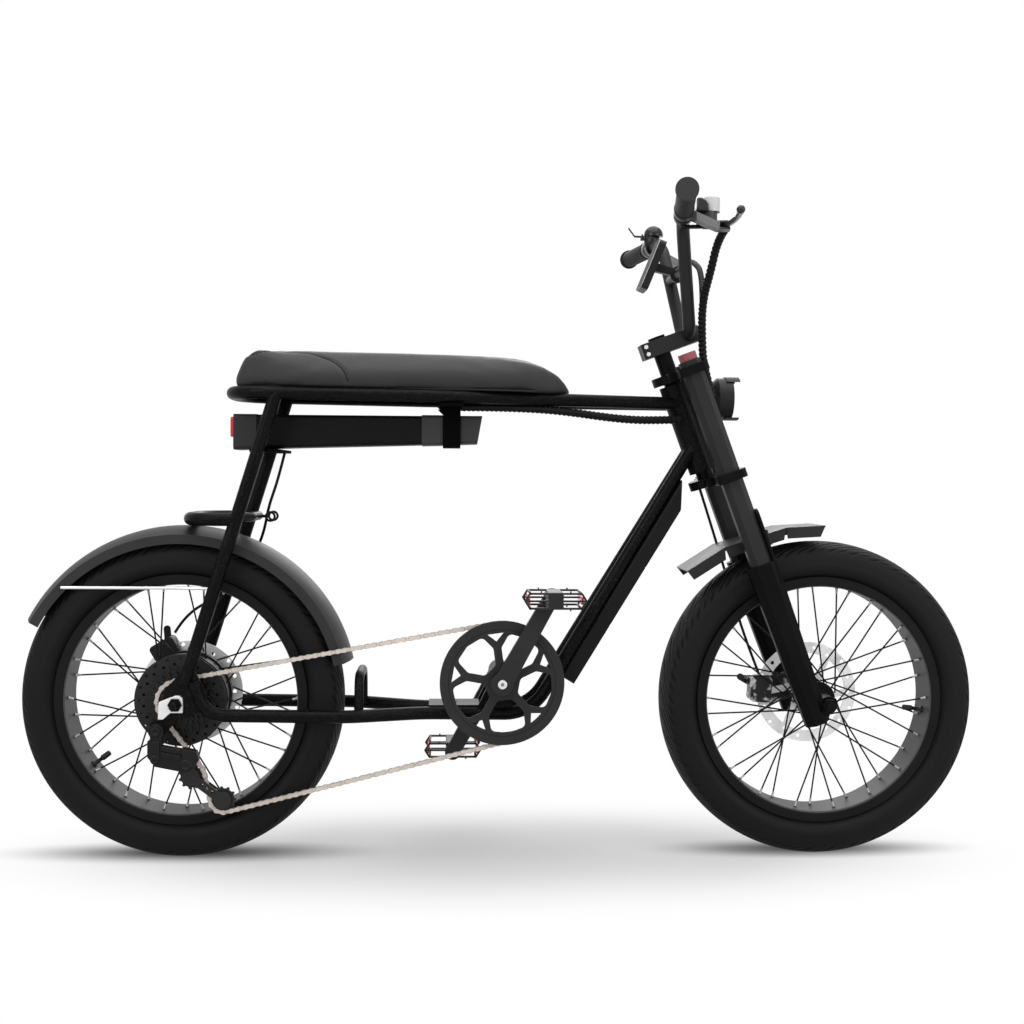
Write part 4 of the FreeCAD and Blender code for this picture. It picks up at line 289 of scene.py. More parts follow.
# tyres: rounded casing with curved grooves over the tread
tyreSet = {
    "crown": 0.275, "shoulder": (0.26463, 0.0392), "bulgeHigh": (0.2552, 0.0453), "widest": (0.23962, 0.049),
    "bulgeLow": (0.2226, 0.04603), "lip": (0.21575, 0.0355), "bead": (0.2, 0.0355),
    "crownSteps": 12, "sideSteps": 9,
    "grooves": 42, "grooveWidth": 0.0034, "grooveDepth": 0.0026, "sweep": 0.3, "sipeDepth": 0.0017,
    "beadLine": 0.0009, "beadLineSpan": (0.2195, 0.2235), "sweepReach": 0.045, "sweepPower": 1.6,
    "insetSpan": (0.03, 0.046), "sipeShare": 0.8, "treadFrom": 0.248, "edgeRadius": 0.266,
    "grooveSpan": ((0.004, 0.013), (0.041, 0.0455)), "sipeSpan": ((0.022, 0.027), (0.04, 0.044)),
    "cuts": ((-1.0, 0), (-0.5, 0.75), (0.0, 1), (0.5, 0.75), (1.0, 0)),
    "inner": ((0.2, 0.0305), (0.2153, 0.0305), (0.2396, 0.044), (0.2596, 0.0365), (0.27, 0)),
}
wheelSet = {
    "front": {"centre": (0.55, 0, 0.275), "body": "front_wheel", "hubRadius": 0.03155, "flange": 0.029, "cross": 60,
              "valve": -7},
    "rear": {"centre": (-0.55, 0, 0.275), "body": "rear_wheel", "hubRadius": 0.07855, "flange": 0.0226, "cross": 20,
             "valve": 217},
}


def arcThrough(first, middle, last, count):
    ax, ay = first
    bx, by = middle
    cx, cy = last
    spread = 2 * (ax * (by - cy) + bx * (cy - ay) + cx * (ay - by))
    a2, b2, c2 = ax * ax + ay * ay, bx * bx + by * by, cx * cx + cy * cy
    ox = (a2 * (by - cy) + b2 * (cy - ay) + c2 * (ay - by)) / spread
    oy = (a2 * (cx - bx) + b2 * (ax - cx) + c2 * (bx - ax)) / spread
    radius = math.hypot(ax - ox, ay - oy)
    start = math.atan2(ay - oy, ax - ox)
    through = (math.atan2(by - oy, bx - ox) - start) % (2 * math.pi)
    stop = (math.atan2(cy - oy, cx - ox) - start) % (2 * math.pi)
    if through > stop:
        stop -= 2 * math.pi
    turns = [start + stop * step / count for step in range(count + 1)]
    return [(ox + radius * math.cos(turn), oy + radius * math.sin(turn)) for turn in turns]


def smoothStep(low, high, value):
    share = min(max((value - low) / (high - low), 0), 1)
    return share * share * (3 - 2 * share)


def tyreOutline():
    values = tyreSet
    shoulder = values["shoulder"]
    half, steps = values["crownSteps"], values["sideSteps"]
    rows = arcThrough((shoulder[0], -shoulder[1]), (values["crown"], 0), shoulder, 2 * half)[half:]
    rows += arcThrough(shoulder, values["bulgeHigh"], values["widest"], steps)[1:]
    rows += arcThrough(values["widest"], values["bulgeLow"], values["lip"], steps)[1:]
    rows.append(values["bead"])
    outer = [(radius, -y) for radius, y in reversed(rows[1:])] + rows
    inner = list(values["inner"])
    inner += [(radius, -y) for radius, y in reversed(inner[:-1])]
    return outer, inner


def grooveAt(wide, radius):
    # depth shares of the long groove and the short sipe at a row
    if radius < tyreSet["treadFrom"]:
        return 0, 0
    wide, outside = abs(wide), radius < tyreSet["edgeRadius"]
    spans = (tyreSet["grooveSpan"], tyreSet["sipeSpan"])
    return [smoothStep(*start, wide) * (1 - smoothStep(*stop, wide) * outside) for start, stop in spans]


def makeTyre(name):
    values, wheel = tyreSet, wheelSet[name]
    outer, inner = tyreOutline()
    centre = Vector(wheel["centre"])
    period = 2 * math.pi / values["grooves"]
    width = values["grooveWidth"] / values["crown"]
    cuts, sweepReach = values["cuts"], values["sweepReach"]
    lineLow, lineHigh = values["beadLineSpan"]
    columns = [(period * 0.25 + width * at, depth, 0) for at, depth in cuts]
    columns += [(period * 0.5, 0, 0)]
    columns += [(period * 0.75 + width * values["sipeShare"] * at, 0, depth) for at, depth in cuts]
    columns += [(period, 0, 0)]
    points, faces = [], []
    count = values["grooves"] * len(columns)
    rows = len(outer) + len(inner)
    for turn in range(values["grooves"]):
        for offset, longShare, shortShare in columns:
            for radius, wide in outer:
                long, short = grooveAt(wide, radius)
                sunk = values["grooveDepth"] * long * longShare + values["sipeDepth"] * short * shortShare
                if lineLow < radius < lineHigh:
                    sunk += values["beadLine"]
                sweep = values["sweep"] * (min(abs(wide), sweepReach) / sweepReach) ** values["sweepPower"]
                angle = turn * period + offset + sweep
                reach = radius - sunk
                inset = wide - math.copysign(sunk * smoothStep(*values["insetSpan"], abs(wide)), wide)
                points.append(centre + Vector((reach * math.cos(angle), inset, reach * math.sin(angle))))
            for radius, wide in inner:
                angle = turn * period + offset
                points.append(centre + Vector((radius * math.cos(angle), wide, radius * math.sin(angle))))
    for column in range(count):
        after = (column + 1) % count
        for row in range(rows):
            nextRow = (row + 1) % rows
            faces.append((column * rows + row, column * rows + nextRow, after * rows + nextRow, after * rows + row))
    return attach(addMesh(name + "Tyre", points, faces), wheel["body"], name + "_tyre")


# nipples at the rim and the valve
nippleSet = {"count": 36, "rim": 0.1962, "rimSide": 0.016, "spread": 0.0034, "sides": 8,
             "outline": ((0, 0.0028), (0.002, 0.0028), (0.003, 0.0021), (0.0095, 0.0019), (0.0105, 0.0015))}
valveSet = {"rim": 0.1962, "outline": ((0, 0.0062), (0.002, 0.0062), (0.003, 0.0036), (0.017, 0.0033), (0.018, 0.0047),
                                       (0.0195, 0.005), (0.033, 0.0047), (0.0345, 0.0035))}


def makeNipples(name):
    values, wheel = nippleSet, wheelSet[name]
    centre = Vector(wheel["centre"])
    pieces = []
    for index in range(values["count"]):
        side = 1 if index % 2 else -1
        lean = 1 if index % 4 < 2 else -1
        rimTurn = math.radians(index * 360 / values["count"])
        hubTurn = rimTurn - math.radians(lean * wheel["cross"])
        hubSide = side * (wheel["flange"] + lean * values["spread"] / 2)
        rimSide = side * (values["rimSide"] + lean * values["spread"] / 2)
        hub = Vector((wheel["hubRadius"] * math.cos(hubTurn), hubSide, wheel["hubRadius"] * math.sin(hubTurn)))
        rim = Vector((values["rim"] * math.cos(rimTurn), rimSide, values["rim"] * math.sin(rimTurn)))
        pieces.append(lathed("nipple", centre + rim, hub - rim, values["outline"], values["sides"]))
    return attach(joined(name + "Nipples", pieces), wheel["body"])


def makeValve(name):
    wheel = wheelSet[name]
    turn = math.radians(wheel["valve"])
    inward = Vector((-math.cos(turn), 0, -math.sin(turn)))
    base = Vector(wheel["centre"]) - inward * valveSet["rim"]
    piece = lathed(name + "Valve", base, inward, valveSet["outline"])
    return attach(piece, wheel["body"])


tyres = {name: makeTyre(name) for name in wheelSet}
nipples = {name: makeNipples(name) for name in wheelSet}
valves = {name: makeValve(name) for name in wheelSet}
print("tyres, nipples and valves made")

# seat pad: swelled by cloth, eased to the photograph's outline, then a sewn seam is sunk into it
seatSet = {"voxel": 0.005, "shrink": 0.0025, "frames": 20, "cap": 0.008, "seamSink": 0.0022,
           "seamWidth": 0.0035, "seamTop": -0.352, "seamRun": 0.086, "seamRear": -0.434, "threadRadius": 0.0011,
           "firstEase": 5, "ease": 14, "lastEase": 6, "step": 0.006, "most": 2.2, "noseFrom": 0.02,
           "nose": 0.007, "tailFrom": -0.4, "tail": 0.006, "sinkBelow": 0.011, "sink": 0.0035, "tailSink": 0.005,
           "seamShare": 0.9, "seamPasses": 8, "seamLow": 0.012, "seamHigh": 0.01, "seamBack": 0.006, "seamReach": 2.5,
           "seamTurns": 24, "seamRuns": 12, "rayFrom": -0.3, "heldNormal": -0.6, "underNormal": -0.5, "easeShare": 0.5,
           "leastTop": 0.001, "threadSides": 6,
           "cloth": {"quality": 6, "mass": 0.4, "tension_stiffness": 18, "compression_stiffness": 18,
                     "bending_stiffness": 2, "use_pressure": True, "uniform_pressure_force": 4,
                     "vertex_group_mass": "held"},
           "heights": ((-0.462, 0.01), (-0.4539, 0.024), (-0.4471, 0.04), (-0.4402, 0.0505), (-0.4334, 0.0555),
                       (-0.4265, 0.0585), (-0.4196, 0.0602), (-0.4, 0.0625), (-0.36, 0.0622), (-0.3, 0.0614),
                       (-0.176, 0.062), (-0.0732, 0.061), (-0.0389, 0.0606), (-0.0045, 0.06), (0.0298, 0.0567),
                       (0.0469, 0.052), (0.064, 0.046), (0.0812, 0.037), (0.0898, 0.0304), (0.0984, 0.021),
                       (0.107, 0.008), (0.1138, 0.003)),
           "widths": ((-0.462, 0.76), (-0.44, 0.8), (-0.41, 0.84), (-0.37, 0.86), (-0.3, 0.86), (0.12, 0.86))}


def atTable(rows, value):
    for (low, first), (high, second) in zip(rows, rows[1:]):
        if value <= high:
            share = max((value - low) / (high - low), 0)
            return first + (second - first) * share
    return rows[-1][1]


def shapePad(mesh, rear, front):
    # rear and front: two spots of the pad's flat underside
    slope = (front.z - rear.z) / (front.x - rear.x)
    step = seatSet["step"]
    noseReach, tailReach = front.x - seatSet["noseFrom"], seatSet["tailFrom"] - rear.x
    tops, moved = {}, []
    for vertex in mesh.vertices:
        x, y, z = vertex.co
        rise = z - rear.z - slope * (x - rear.x)
        x += seatSet["nose"] * smoothStep(0, noseReach, x - seatSet["noseFrom"])
        x -= seatSet["tail"] * smoothStep(0, tailReach, seatSet["tailFrom"] - x)
        tops[round(x / step)] = max(tops.get(round(x / step), 0), rise)
        moved.append((x, y, rise))
    rows = [(spot * step, tall) for spot, tall in sorted(tops.items())]
    for vertex, (x, y, rise) in zip(mesh.vertices, moved):
        share = min(atTable(seatSet["heights"], x) / max(atTable(rows, x), seatSet["leastTop"]), seatSet["most"])
        deep = seatSet["sink"] + seatSet["tailSink"] * smoothStep(0, tailReach, seatSet["tailFrom"] - x)
        sunk = deep * (1 - smoothStep(0, seatSet["sinkBelow"], rise))
        level = rear.z + slope * (x - rear.x)
        vertex.co = (x, y * atTable(seatSet["widths"], x), level + rise * share - sunk)
    mesh.update()


def swellPad(pad):
    mesh = pad.data
    held = pad.vertex_groups.new(name="held")
    flat = [vertex.index for vertex in mesh.vertices if vertex.normal.z < seatSet["heldNormal"]]
    held.add(flat, 1, "REPLACE")
    resting = set(flat)
    for vertex in mesh.vertices:
        if vertex.index not in resting:
            vertex.co -= vertex.normal * seatSet["shrink"]
    start = [vertex.co.copy() for vertex in mesh.vertices]
    cloth = pad.modifiers.new("swell", "CLOTH")
    for key, value in seatSet["cloth"].items():
        setattr(cloth.settings, key, value)
    cloth.settings.effector_weights.gravity = 0
    cloth.collision_settings.use_collision = False
    cloth.point_cache.frame_start = 1
    cloth.point_cache.frame_end = seatSet["frames"]
    scene = bpy.context.scene
    for step in range(1, seatSet["frames"] + 1):
        scene.frame_set(step)
    graph = bpy.context.evaluated_depsgraph_get()
    result = pad.evaluated_get(graph).to_mesh()
    swelled = [vertex.co.copy() for vertex in result.vertices]
    pad.evaluated_get(graph).to_mesh_clear()
    pad.modifiers.remove(cloth)
    scene.frame_set(1)
    for vertex, before, after in zip(mesh.vertices, start, swelled):
        move = after - before
        if move.length > seatSet["cap"]:
            move *= seatSet["cap"] / move.length
        vertex.co = before + move
    mesh.update()


def surfaceOf(piece):
    graph = bpy.context.evaluated_depsgraph_get()
    return BVHTree.FromObject(piece, graph)


def seamLine(surface):
    base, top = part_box("seat_pad")
    low, high = base[2] + seatSet["seamLow"], top[2] + seatSet["seamHigh"]
    turns, runs, back = seatSet["seamTurns"], seatSet["seamRuns"], seatSet["seamBack"]
    down = Vector((0, 0, -1))
    spots = []
    for step in range(turns + 1):
        turn = math.radians(90 * step / turns)
        x = seatSet["seamTop"] + seatSet["seamRun"] * math.cos(turn)
        spots.append((x, math.sin(turn) * seatSet["seamShare"]))
    for step in range(1, runs + 1):
        x = seatSet["seamTop"] + (seatSet["seamRear"] - seatSet["seamTop"]) * step / runs
        spots.append((x, seatSet["seamShare"]))
    half = []
    for x, share in spots:
        crown = surface.ray_cast(Vector((x, 0, high)), down)[0]
        z = low + (crown.z - low) * share
        hit = surface.ray_cast(Vector((x, seatSet["rayFrom"], z)), Vector((0, 1, 0)))[0]
        if hit:
            half.append(hit)
    last = half[-1]
    for step in range(1, runs):
        x = last.x - back * math.sin(math.pi / 2 * step / runs)
        hit = surface.ray_cast(Vector((x, last.y * (1 - step / runs), high)), down)[0]
        if hit:
            half.append(hit)
    middle = surface.ray_cast(Vector((last.x - back, 0, high)), down)[0]
    line = half + [middle] + [Vector((spot.x, -spot.y, spot.z)) for spot in reversed(half)]
    for turn in range(seatSet["seamPasses"]):
        middles = [(before + spot * 2 + after) / 4 for before, spot, after in zip(line, line[1:], line[2:])]
        line = [line[0], *middles, line[-1]]
    return [surface.find_nearest(spot)[0] for spot in line]


def sinkSeam(mesh, line):
    reach = seatSet["seamWidth"] * seatSet["seamReach"]
    low, high = min(spot.x for spot in line) - reach, max(spot.x for spot in line) + reach
    for vertex in mesh.vertices:
        if not low < vertex.co.x < high:
            continue
        near = min((vertex.co - spot).length for spot in line)
        if near < reach:
            vertex.co -= vertex.normal * seatSet["seamSink"] * math.exp(-(near / seatSet["seamWidth"]) ** 2)


def eased(pad, times):
    ease = pad.modifiers.new("ease", "SMOOTH")
    ease.factor = seatSet["easeShare"]
    ease.iterations = times
    applied(pad)


def makeSeat():
    source = nodes["seat_pad"]
    mesh = source.data.copy()
    mesh.name = "benchSeat"
    mesh.materials.clear()
    pad = bpy.data.objects.new("benchSeat", mesh)
    bpy.context.collection.objects.link(pad)
    remesh = pad.modifiers.new("evenSkin", "REMESH")
    remesh.mode = "VOXEL"
    remesh.voxel_size = seatSet["voxel"]
    eased(pad, seatSet["firstEase"])
    swellPad(pad)
    eased(pad, seatSet["ease"])
    under = [spot.co for spot in source.data.vertices if spot.normal.z < seatSet["underNormal"]]
    shapePad(pad.data, min(under, key=lambda spot: spot.x), max(under, key=lambda spot: spot.x))
    eased(pad, seatSet["lastEase"])
    finer = pad.modifiers.new("finer", "SUBSURF")
    finer.levels = 1
    finer.render_levels = 1
    applied(pad)
    line = seamLine(surfaceOf(pad))
    sinkSeam(pad.data, line)
    pad.data.shade_smooth()
    attach(pad, "frame", "seat_pad")
    surface = surfaceOf(pad)
    thread = [surface.find_nearest(spot)[0] for spot in line]
    seam = tubeMesh("seatSeam", thread, lambda run, turn: seatSet["threadRadius"], seatSet["threadSides"])
    return pad, attach(seam, "frame")


benchSeat, seatSeam = makeSeat()
print("seat made")

# brake levers: a slim curved blade with a ball at its end
leverSet = {"eye": (0.34367, -0.19222, 1.0632), "ball": (0.34343, -0.3113, 1.06651), "up": (0.00194, 0.02776, 0.99961),
            "ahead": (0.99032, -0.13878, 0.00194)}
leverSides = {"right": 1, "left": -1}
bladeSet = {"bow": 0.006, "steps": 28, "ball": 0.0068, "eyeRadius": 0.008, "eyeHalf": 0.0034, "ballLeast": 0.05,
            "eyeOutline": ((0, 0.88), (0.3, 1), (1.7, 1), (2, 0.88)),
            "halves": ((0, 0.0066, 0.0033), (0.12, 0.0062, 0.0034), (0.3, 0.0056, 0.0044), (0.55, 0.005, 0.0046),
                       (0.8, 0.0056, 0.0056), (1, 0.0064, 0.0064))}


def halvesAt(share):
    for (low, lowWide, lowTall), (high, wide, tall) in zip(bladeSet["halves"], bladeSet["halves"][1:]):
        if share <= high:
            mix = (share - low) / (high - low)
            return lowWide + (wide - lowWide) * mix, lowTall + (tall - lowTall) * mix


def ballOutline(radius, steps=10):
    turns = [math.pi * step / steps for step in range(steps + 1)]
    return [(-radius * math.cos(turn), radius * max(math.sin(turn), bladeSet["ballLeast"])) for turn in turns]


def makeLever(name):
    # the left lever mirrors the right one
    side = leverSides[name]
    eye, ball, up, ahead = (Vector((x, y * side, z)) for x, y, z in leverSet.values())
    shares = [step / bladeSet["steps"] for step in range(bladeSet["steps"] + 1)]
    line = [eye.lerp(ball, share) + ahead * bladeSet["bow"] * math.sin(math.pi * share) for share in shares]
    blade = sweptBar("blade", line, [halvesAt(share) for share in shares], up)
    end = lathed("end", ball, ball - eye, ballOutline(bladeSet["ball"]))
    radius, half = bladeSet["eyeRadius"], bladeSet["eyeHalf"]
    rim = [(half * along, radius * share) for along, share in bladeSet["eyeOutline"]]
    boss = lathed("boss", eye - up * half, up, rim)
    node = "brake_lever_" + name
    return attach(joined(name + "Lever", [blade, end, boss]), node, node)


# derailleur: pivot bolts and link covers on its outer side
gearSet = {
    "face": -0.1, "bolts": (((-0.58, 0.232), 0.0085), ((-0.58, 0.186), 0.007), ((-0.53, 0.176), 0.0095)),
    "bolt": ((-0.0005, 1), (0.0018, 1), (0.003, 0.86), (0.003, 0.5), (0.0012, 0.42), (0.0012, 0.02)),
    "links": (((-0.593, 0.217), (-0.5735, 0.217), (-0.5725, 0.186), (-0.586, 0.182), (-0.593, 0.19)),
              ((-0.571, 0.2085), (-0.538, 0.2025), (-0.538, 0.1945), (-0.571, 0.2005)),
              ((-0.571, 0.199), (-0.538, 0.193), (-0.538, 0.185), (-0.571, 0.191)),
              ((-0.5365, 0.205), (-0.513, 0.1995), (-0.508, 0.186), (-0.516, 0.1725), (-0.5365, 0.177))),
    "rise": 0.0025, "sunk": 0.015, "edge": 0.001,
}


def makeGearCover():
    face = gearSet["face"]
    pieces = []
    for (x, z), radius in gearSet["bolts"]:
        outline = [(along, radius * share) for along, share in gearSet["bolt"]]
        pieces.append(lathed("bolt", (x, face, z), (0, -1, 0), outline, sides=24))
    for outline in gearSet["links"]:
        pieces.append(plateMesh("link", outline, face - gearSet["rise"], face + gearSet["sunk"], gearSet["edge"]))
    return attach(joined("gearCover", pieces), "frame")


# pedals: open cages of thin bars round a solid middle, with a reflector in each end
pedalSet = {"right": (0.0789, -0.131, 0.4574), "left": (-0.0869, 0.131, 0.1606)}
cageSet = {"tip": 0.052, "corner": 0.0432, "tall": 0.0138, "bar": 0.0034, "plate": 0.005, "wide": 0.039,
           "block": 0.0125, "blockEdge": 0.0016, "edge": 0.0006, "rod": 0.002, "midBar": 0.0016, "stud": 0.0013,
           "studRise": 0.0024, "studAt": 0.024, "lens": (0.0418, 0.0458), "lensTall": 0.0062, "lensWide": 0.0335,
           "blockShare": 1.02, "tipShare": 1.3, "cornerShare": 0.4}


def makePedal(name):
    values = cageSet
    x, y, z = pedalSet[name]

    def at(spots):
        return [(x + along, z + rise) for along, rise in spots]

    def hexagon(tip, corner, tall):
        return at([(tip, 0), (corner, tall), (-corner, tall), (-tip, 0), (-corner, -tall), (corner, -tall)])

    def bar(long, tall):
        return at([(long, tall), (-long, tall), (-long, -tall), (long, -tall)])

    thick, wide, tall, corner = values["bar"], values["wide"], values["tall"], values["corner"]
    outer = hexagon(values["tip"], corner, tall)
    inner = hexagon(values["tip"] - thick * values["tipShare"], corner - thick * values["cornerShare"], tall - thick)
    block = wide * values["blockShare"]
    pieces = [plateMesh("middle", bar(values["block"], tall), y - block, y + block, values["blockEdge"])]
    for side in (-1, 1):
        near, far = y + side * wide, y + side * (wide - values["plate"])
        pieces.append(ringPlate("cage", outer, inner, near, far, values["edge"]))
        pieces.append(plateMesh("midBar", bar(values["tip"] - thick, values["midBar"]), near, far, values["edge"]))
        for along in (-values["studAt"], values["studAt"]):
            for rise in (-1, 1):
                foot = (x + along, (near + far) / 2, z + rise * (tall - values["studRise"]))
                reach = values["studRise"] * 2
                outline = ((0, values["stud"]), (reach, values["stud"]))
                pieces.append(lathed("stud", foot, (0, 0, rise), outline, sides=8))
    for along, rise in ((corner, tall), (-corner, tall), (corner, -tall), (-corner, -tall)):
        foot = (x + along - math.copysign(thick / 2, along), y - wide, z + rise - math.copysign(thick / 2, rise))
        pieces.append(lathed("rod", foot, (0, 1, 0), ((0, values["rod"]), (2 * wide, values["rod"])), sides=10))
    node = "pedal_" + name
    cage = attach(joined(name + "Pedal", pieces), node, node)
    low, high = values["lens"]
    lensTall, lensWide = values["lensTall"], values["lensWide"]
    lenses = []
    for side in (-1, 1):
        first, last = side * low, side * high
        outline = at([(first, -lensTall), (last, -lensTall), (last, lensTall), (first, lensTall)])
        lenses.append(plateMesh("lens", outline, y - lensWide, y + lensWide, values["edge"]))
    return cage, attach(joined(name + "PedalLens", lenses), node)


# derailleur pulleys: low rounded teeth
pulleySet = {"guide": (-0.528, 0.149), "tension": (-0.475, 0.11)}
pulleyShape = {"teeth": 11, "root": 0.0185, "tip": 0.0222, "half": 0.0016, "edge": 0.0006, "middle": -0.06,
               "shares": ((0, 1), (0.14, 0.9), (0.28, 0.1), (0.5, 0), (0.72, 0.1), (0.86, 0.9))}


def makePulley(name):
    values = pulleyShape
    x, z = pulleySet[name]
    outline = []
    for tooth in range(values["teeth"]):
        for along, rise in values["shares"]:
            turn = 2 * math.pi * (tooth + along) / values["teeth"]
            reach = values["root"] + (values["tip"] - values["root"]) * rise
            outline.append((x + reach * math.cos(turn), z + reach * math.sin(turn)))
    low, high = values["middle"] - values["half"], values["middle"] + values["half"]
    piece = plateMesh(name + "Pulley", outline, low, high, values["edge"])
    return attach(piece, name + "_pulley", name + "_pulley")


# bell skirt, shifter pod and the bright tab behind the rear axle nut
bellSet = {"foot": (0.2784, 0.162, 1.087), "axis": (0.00194, -0.02776, 0.99961),
           "outline": ((0, 0.0125), (0.002, 0.0145), (0.026, 0.0145), (0.027, 0.012))}
podSet = {"outline": ((0.3, 1.111), (0.308, 1.111), (0.315, 1.107), (0.3195, 1.1), (0.3205, 1.089), (0.3, 1.089)),
          "near": -0.183, "far": -0.165, "edge": 0.0025}
tabSet = {"outline": ((-0.5784, 0.2506), (-0.577, 0.2795), (-0.5495, 0.2905), (-0.5425, 0.2898), (-0.5385, 0.286),
                      (-0.5376, 0.28), (-0.5376, 0.2615), (-0.558, 0.2615), (-0.57, 0.2506)),
          "near": -0.0895, "far": -0.08, "edge": 0.0006}


def makeSmallPieces():
    skirt = lathed("bellSkirt", bellSet["foot"], bellSet["axis"], bellSet["outline"], sides=32)
    pod = plateMesh("shifterPod", podSet["outline"], podSet["near"], podSet["far"], podSet["edge"])
    tab = plateMesh("axleTab", tabSet["outline"], tabSet["near"], tabSet["far"], tabSet["edge"])
    attach(skirt, "steering")
    attach(pod, "steering")
    attach(tab, "frame")
    return skirt, pod, tab


bellSkirt, shifterPod, axleTab = makeSmallPieces()
levers = {name: makeLever(name) for name in leverSides}
pulleys = {name: makePulley(name) for name in pulleySet}
gearCover = makeGearCover()
pedals = {name: makePedal(name) for name in pedalSet}
print("levers, derailleur pieces and pedals made")

# studio
studioSet = {"sky": 0.55, "floorColour": (0.62, 0.62, 0.62, 1), "nearGlow": 0.35, "nearReach": 0.1, "farReach": 0.42,
             "glowSqueeze": (0.45, 1, 1), "floorReach": 40}
# painted shadow on the floor, under the whole bike and under each tyre: centre, reach across and in depth, and how
# dark
shadeSet = {
    "wholeBike": {"centre": (-0.02, 0, 0), "reach": (1.0, 0.36), "depth": 0.3},
    "rearTyre": {"centre": (-0.55, 0.01, 0), "reach": (0.38, 0.084), "depth": 0.95},
    "frontTyre": {"centre": (0.55, 0.015, 0), "reach": (0.33, 0.075), "depth": 0.88},
}


def seenDirectly(tree):
    path = tree.nodes.new("ShaderNodeLightPath")
    first = mathNode(tree, "MAXIMUM", path.outputs["Is Camera Ray"], path.outputs["Is Glossy Ray"])
    return mathNode(tree, "MAXIMUM", first, path.outputs["Is Transmission Ray"])


def mathNode(tree, operation, first, second=None, clamp=False):
    node = tree.nodes.new("ShaderNodeMath")
    node.operation = operation
    node.use_clamp = clamp
    for index, value in enumerate((first, second)):
        if value is None:
            continue
        if isinstance(value, (int, float)):
            node.inputs[index].default_value = value
        else:
            tree.links.new(value, node.inputs[index])
    return node.outputs[0]


def rangeNode(tree, value, fromLow, fromHigh, low, high, smooth=False):
    node = tree.nodes.new("ShaderNodeMapRange")
    if smooth:
        node.interpolation_type = "SMOOTHSTEP"
    node.inputs["From Min"].default_value = fromLow
    node.inputs["From Max"].default_value = fromHigh
    node.inputs["To Min"].default_value = low
    node.inputs["To Max"].default_value = high
    tree.links.new(value, node.inputs["Value"])
    return node.outputs["Result"]


def mixNode(tree, kind, factor, first, second):
    node = tree.nodes.new("ShaderNodeMix")
    node.data_type = kind
    sockets = [socket for socket in node.inputs if socket.enabled]
    for socket, value in zip(sockets, (factor, first, second)):
        if isinstance(value, (tuple, list, int, float)):
            socket.default_value = value
        else:
            tree.links.new(value, socket)
    return [socket for socket in node.outputs if socket.enabled][0]


def vectorNode(tree, operation, first, second=None):
    node = tree.nodes.new("ShaderNodeVectorMath")
    node.operation = operation
    for index, value in enumerate((first, second)):
        if isinstance(value, tuple):
            node.inputs[index].default_value = value
        elif value is not None:
            tree.links.new(value, node.inputs[index])
    return node.outputs["Value" if operation in ("LENGTH", "DOT_PRODUCT") else "Vector"]


def shadeOn(tree, spot, values):
    across, deep = values["reach"]
    away = vectorNode(tree, "SUBTRACT", spot, values["centre"])
    far = vectorNode(tree, "LENGTH", vectorNode(tree, "MULTIPLY", away, (1 / across, 1 / deep, 0)))
    return rangeNode(tree, far, 0, 1, 1 - values["depth"], 1, smooth=True)


def newMaterial(name):
    material = bpy.data.materials.new(name)
    material.use_nodes = True
    return material, material.node_tree


def mixShaders(tree, share, first, second, out):
    mix = tree.nodes.new("ShaderNodeMixShader")
    for index, value in enumerate((share, first.outputs[0], second.outputs[0])):
        tree.links.new(value, mix.inputs[index])
    tree.links.new(mix.outputs[0], out.inputs["Surface"])


def makeSky():
    world = bpy.data.worlds.new("studioSky")
    bpy.context.scene.world = world
    world.use_nodes = True
    tree = world.node_tree
    tree.nodes.clear()
    out = tree.nodes.new("ShaderNodeOutputWorld")
    light = tree.nodes.new("ShaderNodeBackground")
    light.inputs["Color"].default_value = (1, 1, 1, 1)
    light.inputs["Strength"].default_value = studioSet["sky"]
    seen = tree.nodes.new("ShaderNodeBackground")
    seen.inputs["Color"].default_value = (1, 1, 1, 1)
    seen.inputs["Strength"].default_value = 1
    mixShaders(tree, seenDirectly(tree), light, seen, out)


def makeFloor():
    reach = studioSet["floorReach"]
    corners = [(-reach, -reach, 0), (reach, -reach, 0), (reach, reach, 0), (-reach, reach, 0)]
    floor = addMesh("studioFloor", corners, [(0, 1, 2, 3)], smooth=False)
    material, tree = newMaterial("paleFloor")
    tree.nodes.clear()
    out = tree.nodes.new("ShaderNodeOutputMaterial")
    spot = tree.nodes.new("ShaderNodeTexCoord")
    # painted shadow: the floor's colour and glow are darkened under the bike and under the tyres
    shade = 1.0
    for values in shadeSet.values():
        shade = mathNode(tree, "MULTIPLY", shadeOn(tree, spot.outputs["Object"], values), shade)
    matte = tree.nodes.new("ShaderNodeBsdfDiffuse")
    tree.links.new(mixNode(tree, "RGBA", shade, (0, 0, 0, 1), studioSet["floorColour"]), matte.inputs["Color"])
    glow = tree.nodes.new("ShaderNodeEmission")
    tree.links.new(shade, glow.inputs["Strength"])
    far = vectorNode(tree, "LENGTH", vectorNode(tree, "MULTIPLY", spot.outputs["Object"], studioSet["glowSqueeze"]))
    rise = rangeNode(tree, far, studioSet["nearReach"], studioSet["farReach"],
                     studioSet["nearGlow"], 1, smooth=True)
    share = mathNode(tree, "MULTIPLY", seenDirectly(tree), rise)
    mixShaders(tree, share, matte, glow, out)
    floor.data.materials.append(material)


lampSet = {
    "overhead": {"place": (0.1, -0.4, 3.2), "aim": (0, 0, 0.4), "size": 3.4, "power": 110},
    "keySide": {"place": (-2.4, -2.9, 2.2), "aim": (0, 0, 0.55), "size": 1.8, "power": 45},
    "fillSide": {"place": (2.9, -2.4, 1.6), "aim": (0.2, 0, 0.55), "size": 1.8, "power": 35},
    "backRim": {"place": (0.4, 2.9, 2.2), "aim": (0, 0, 0.6), "size": 2.2, "power": 45},
}


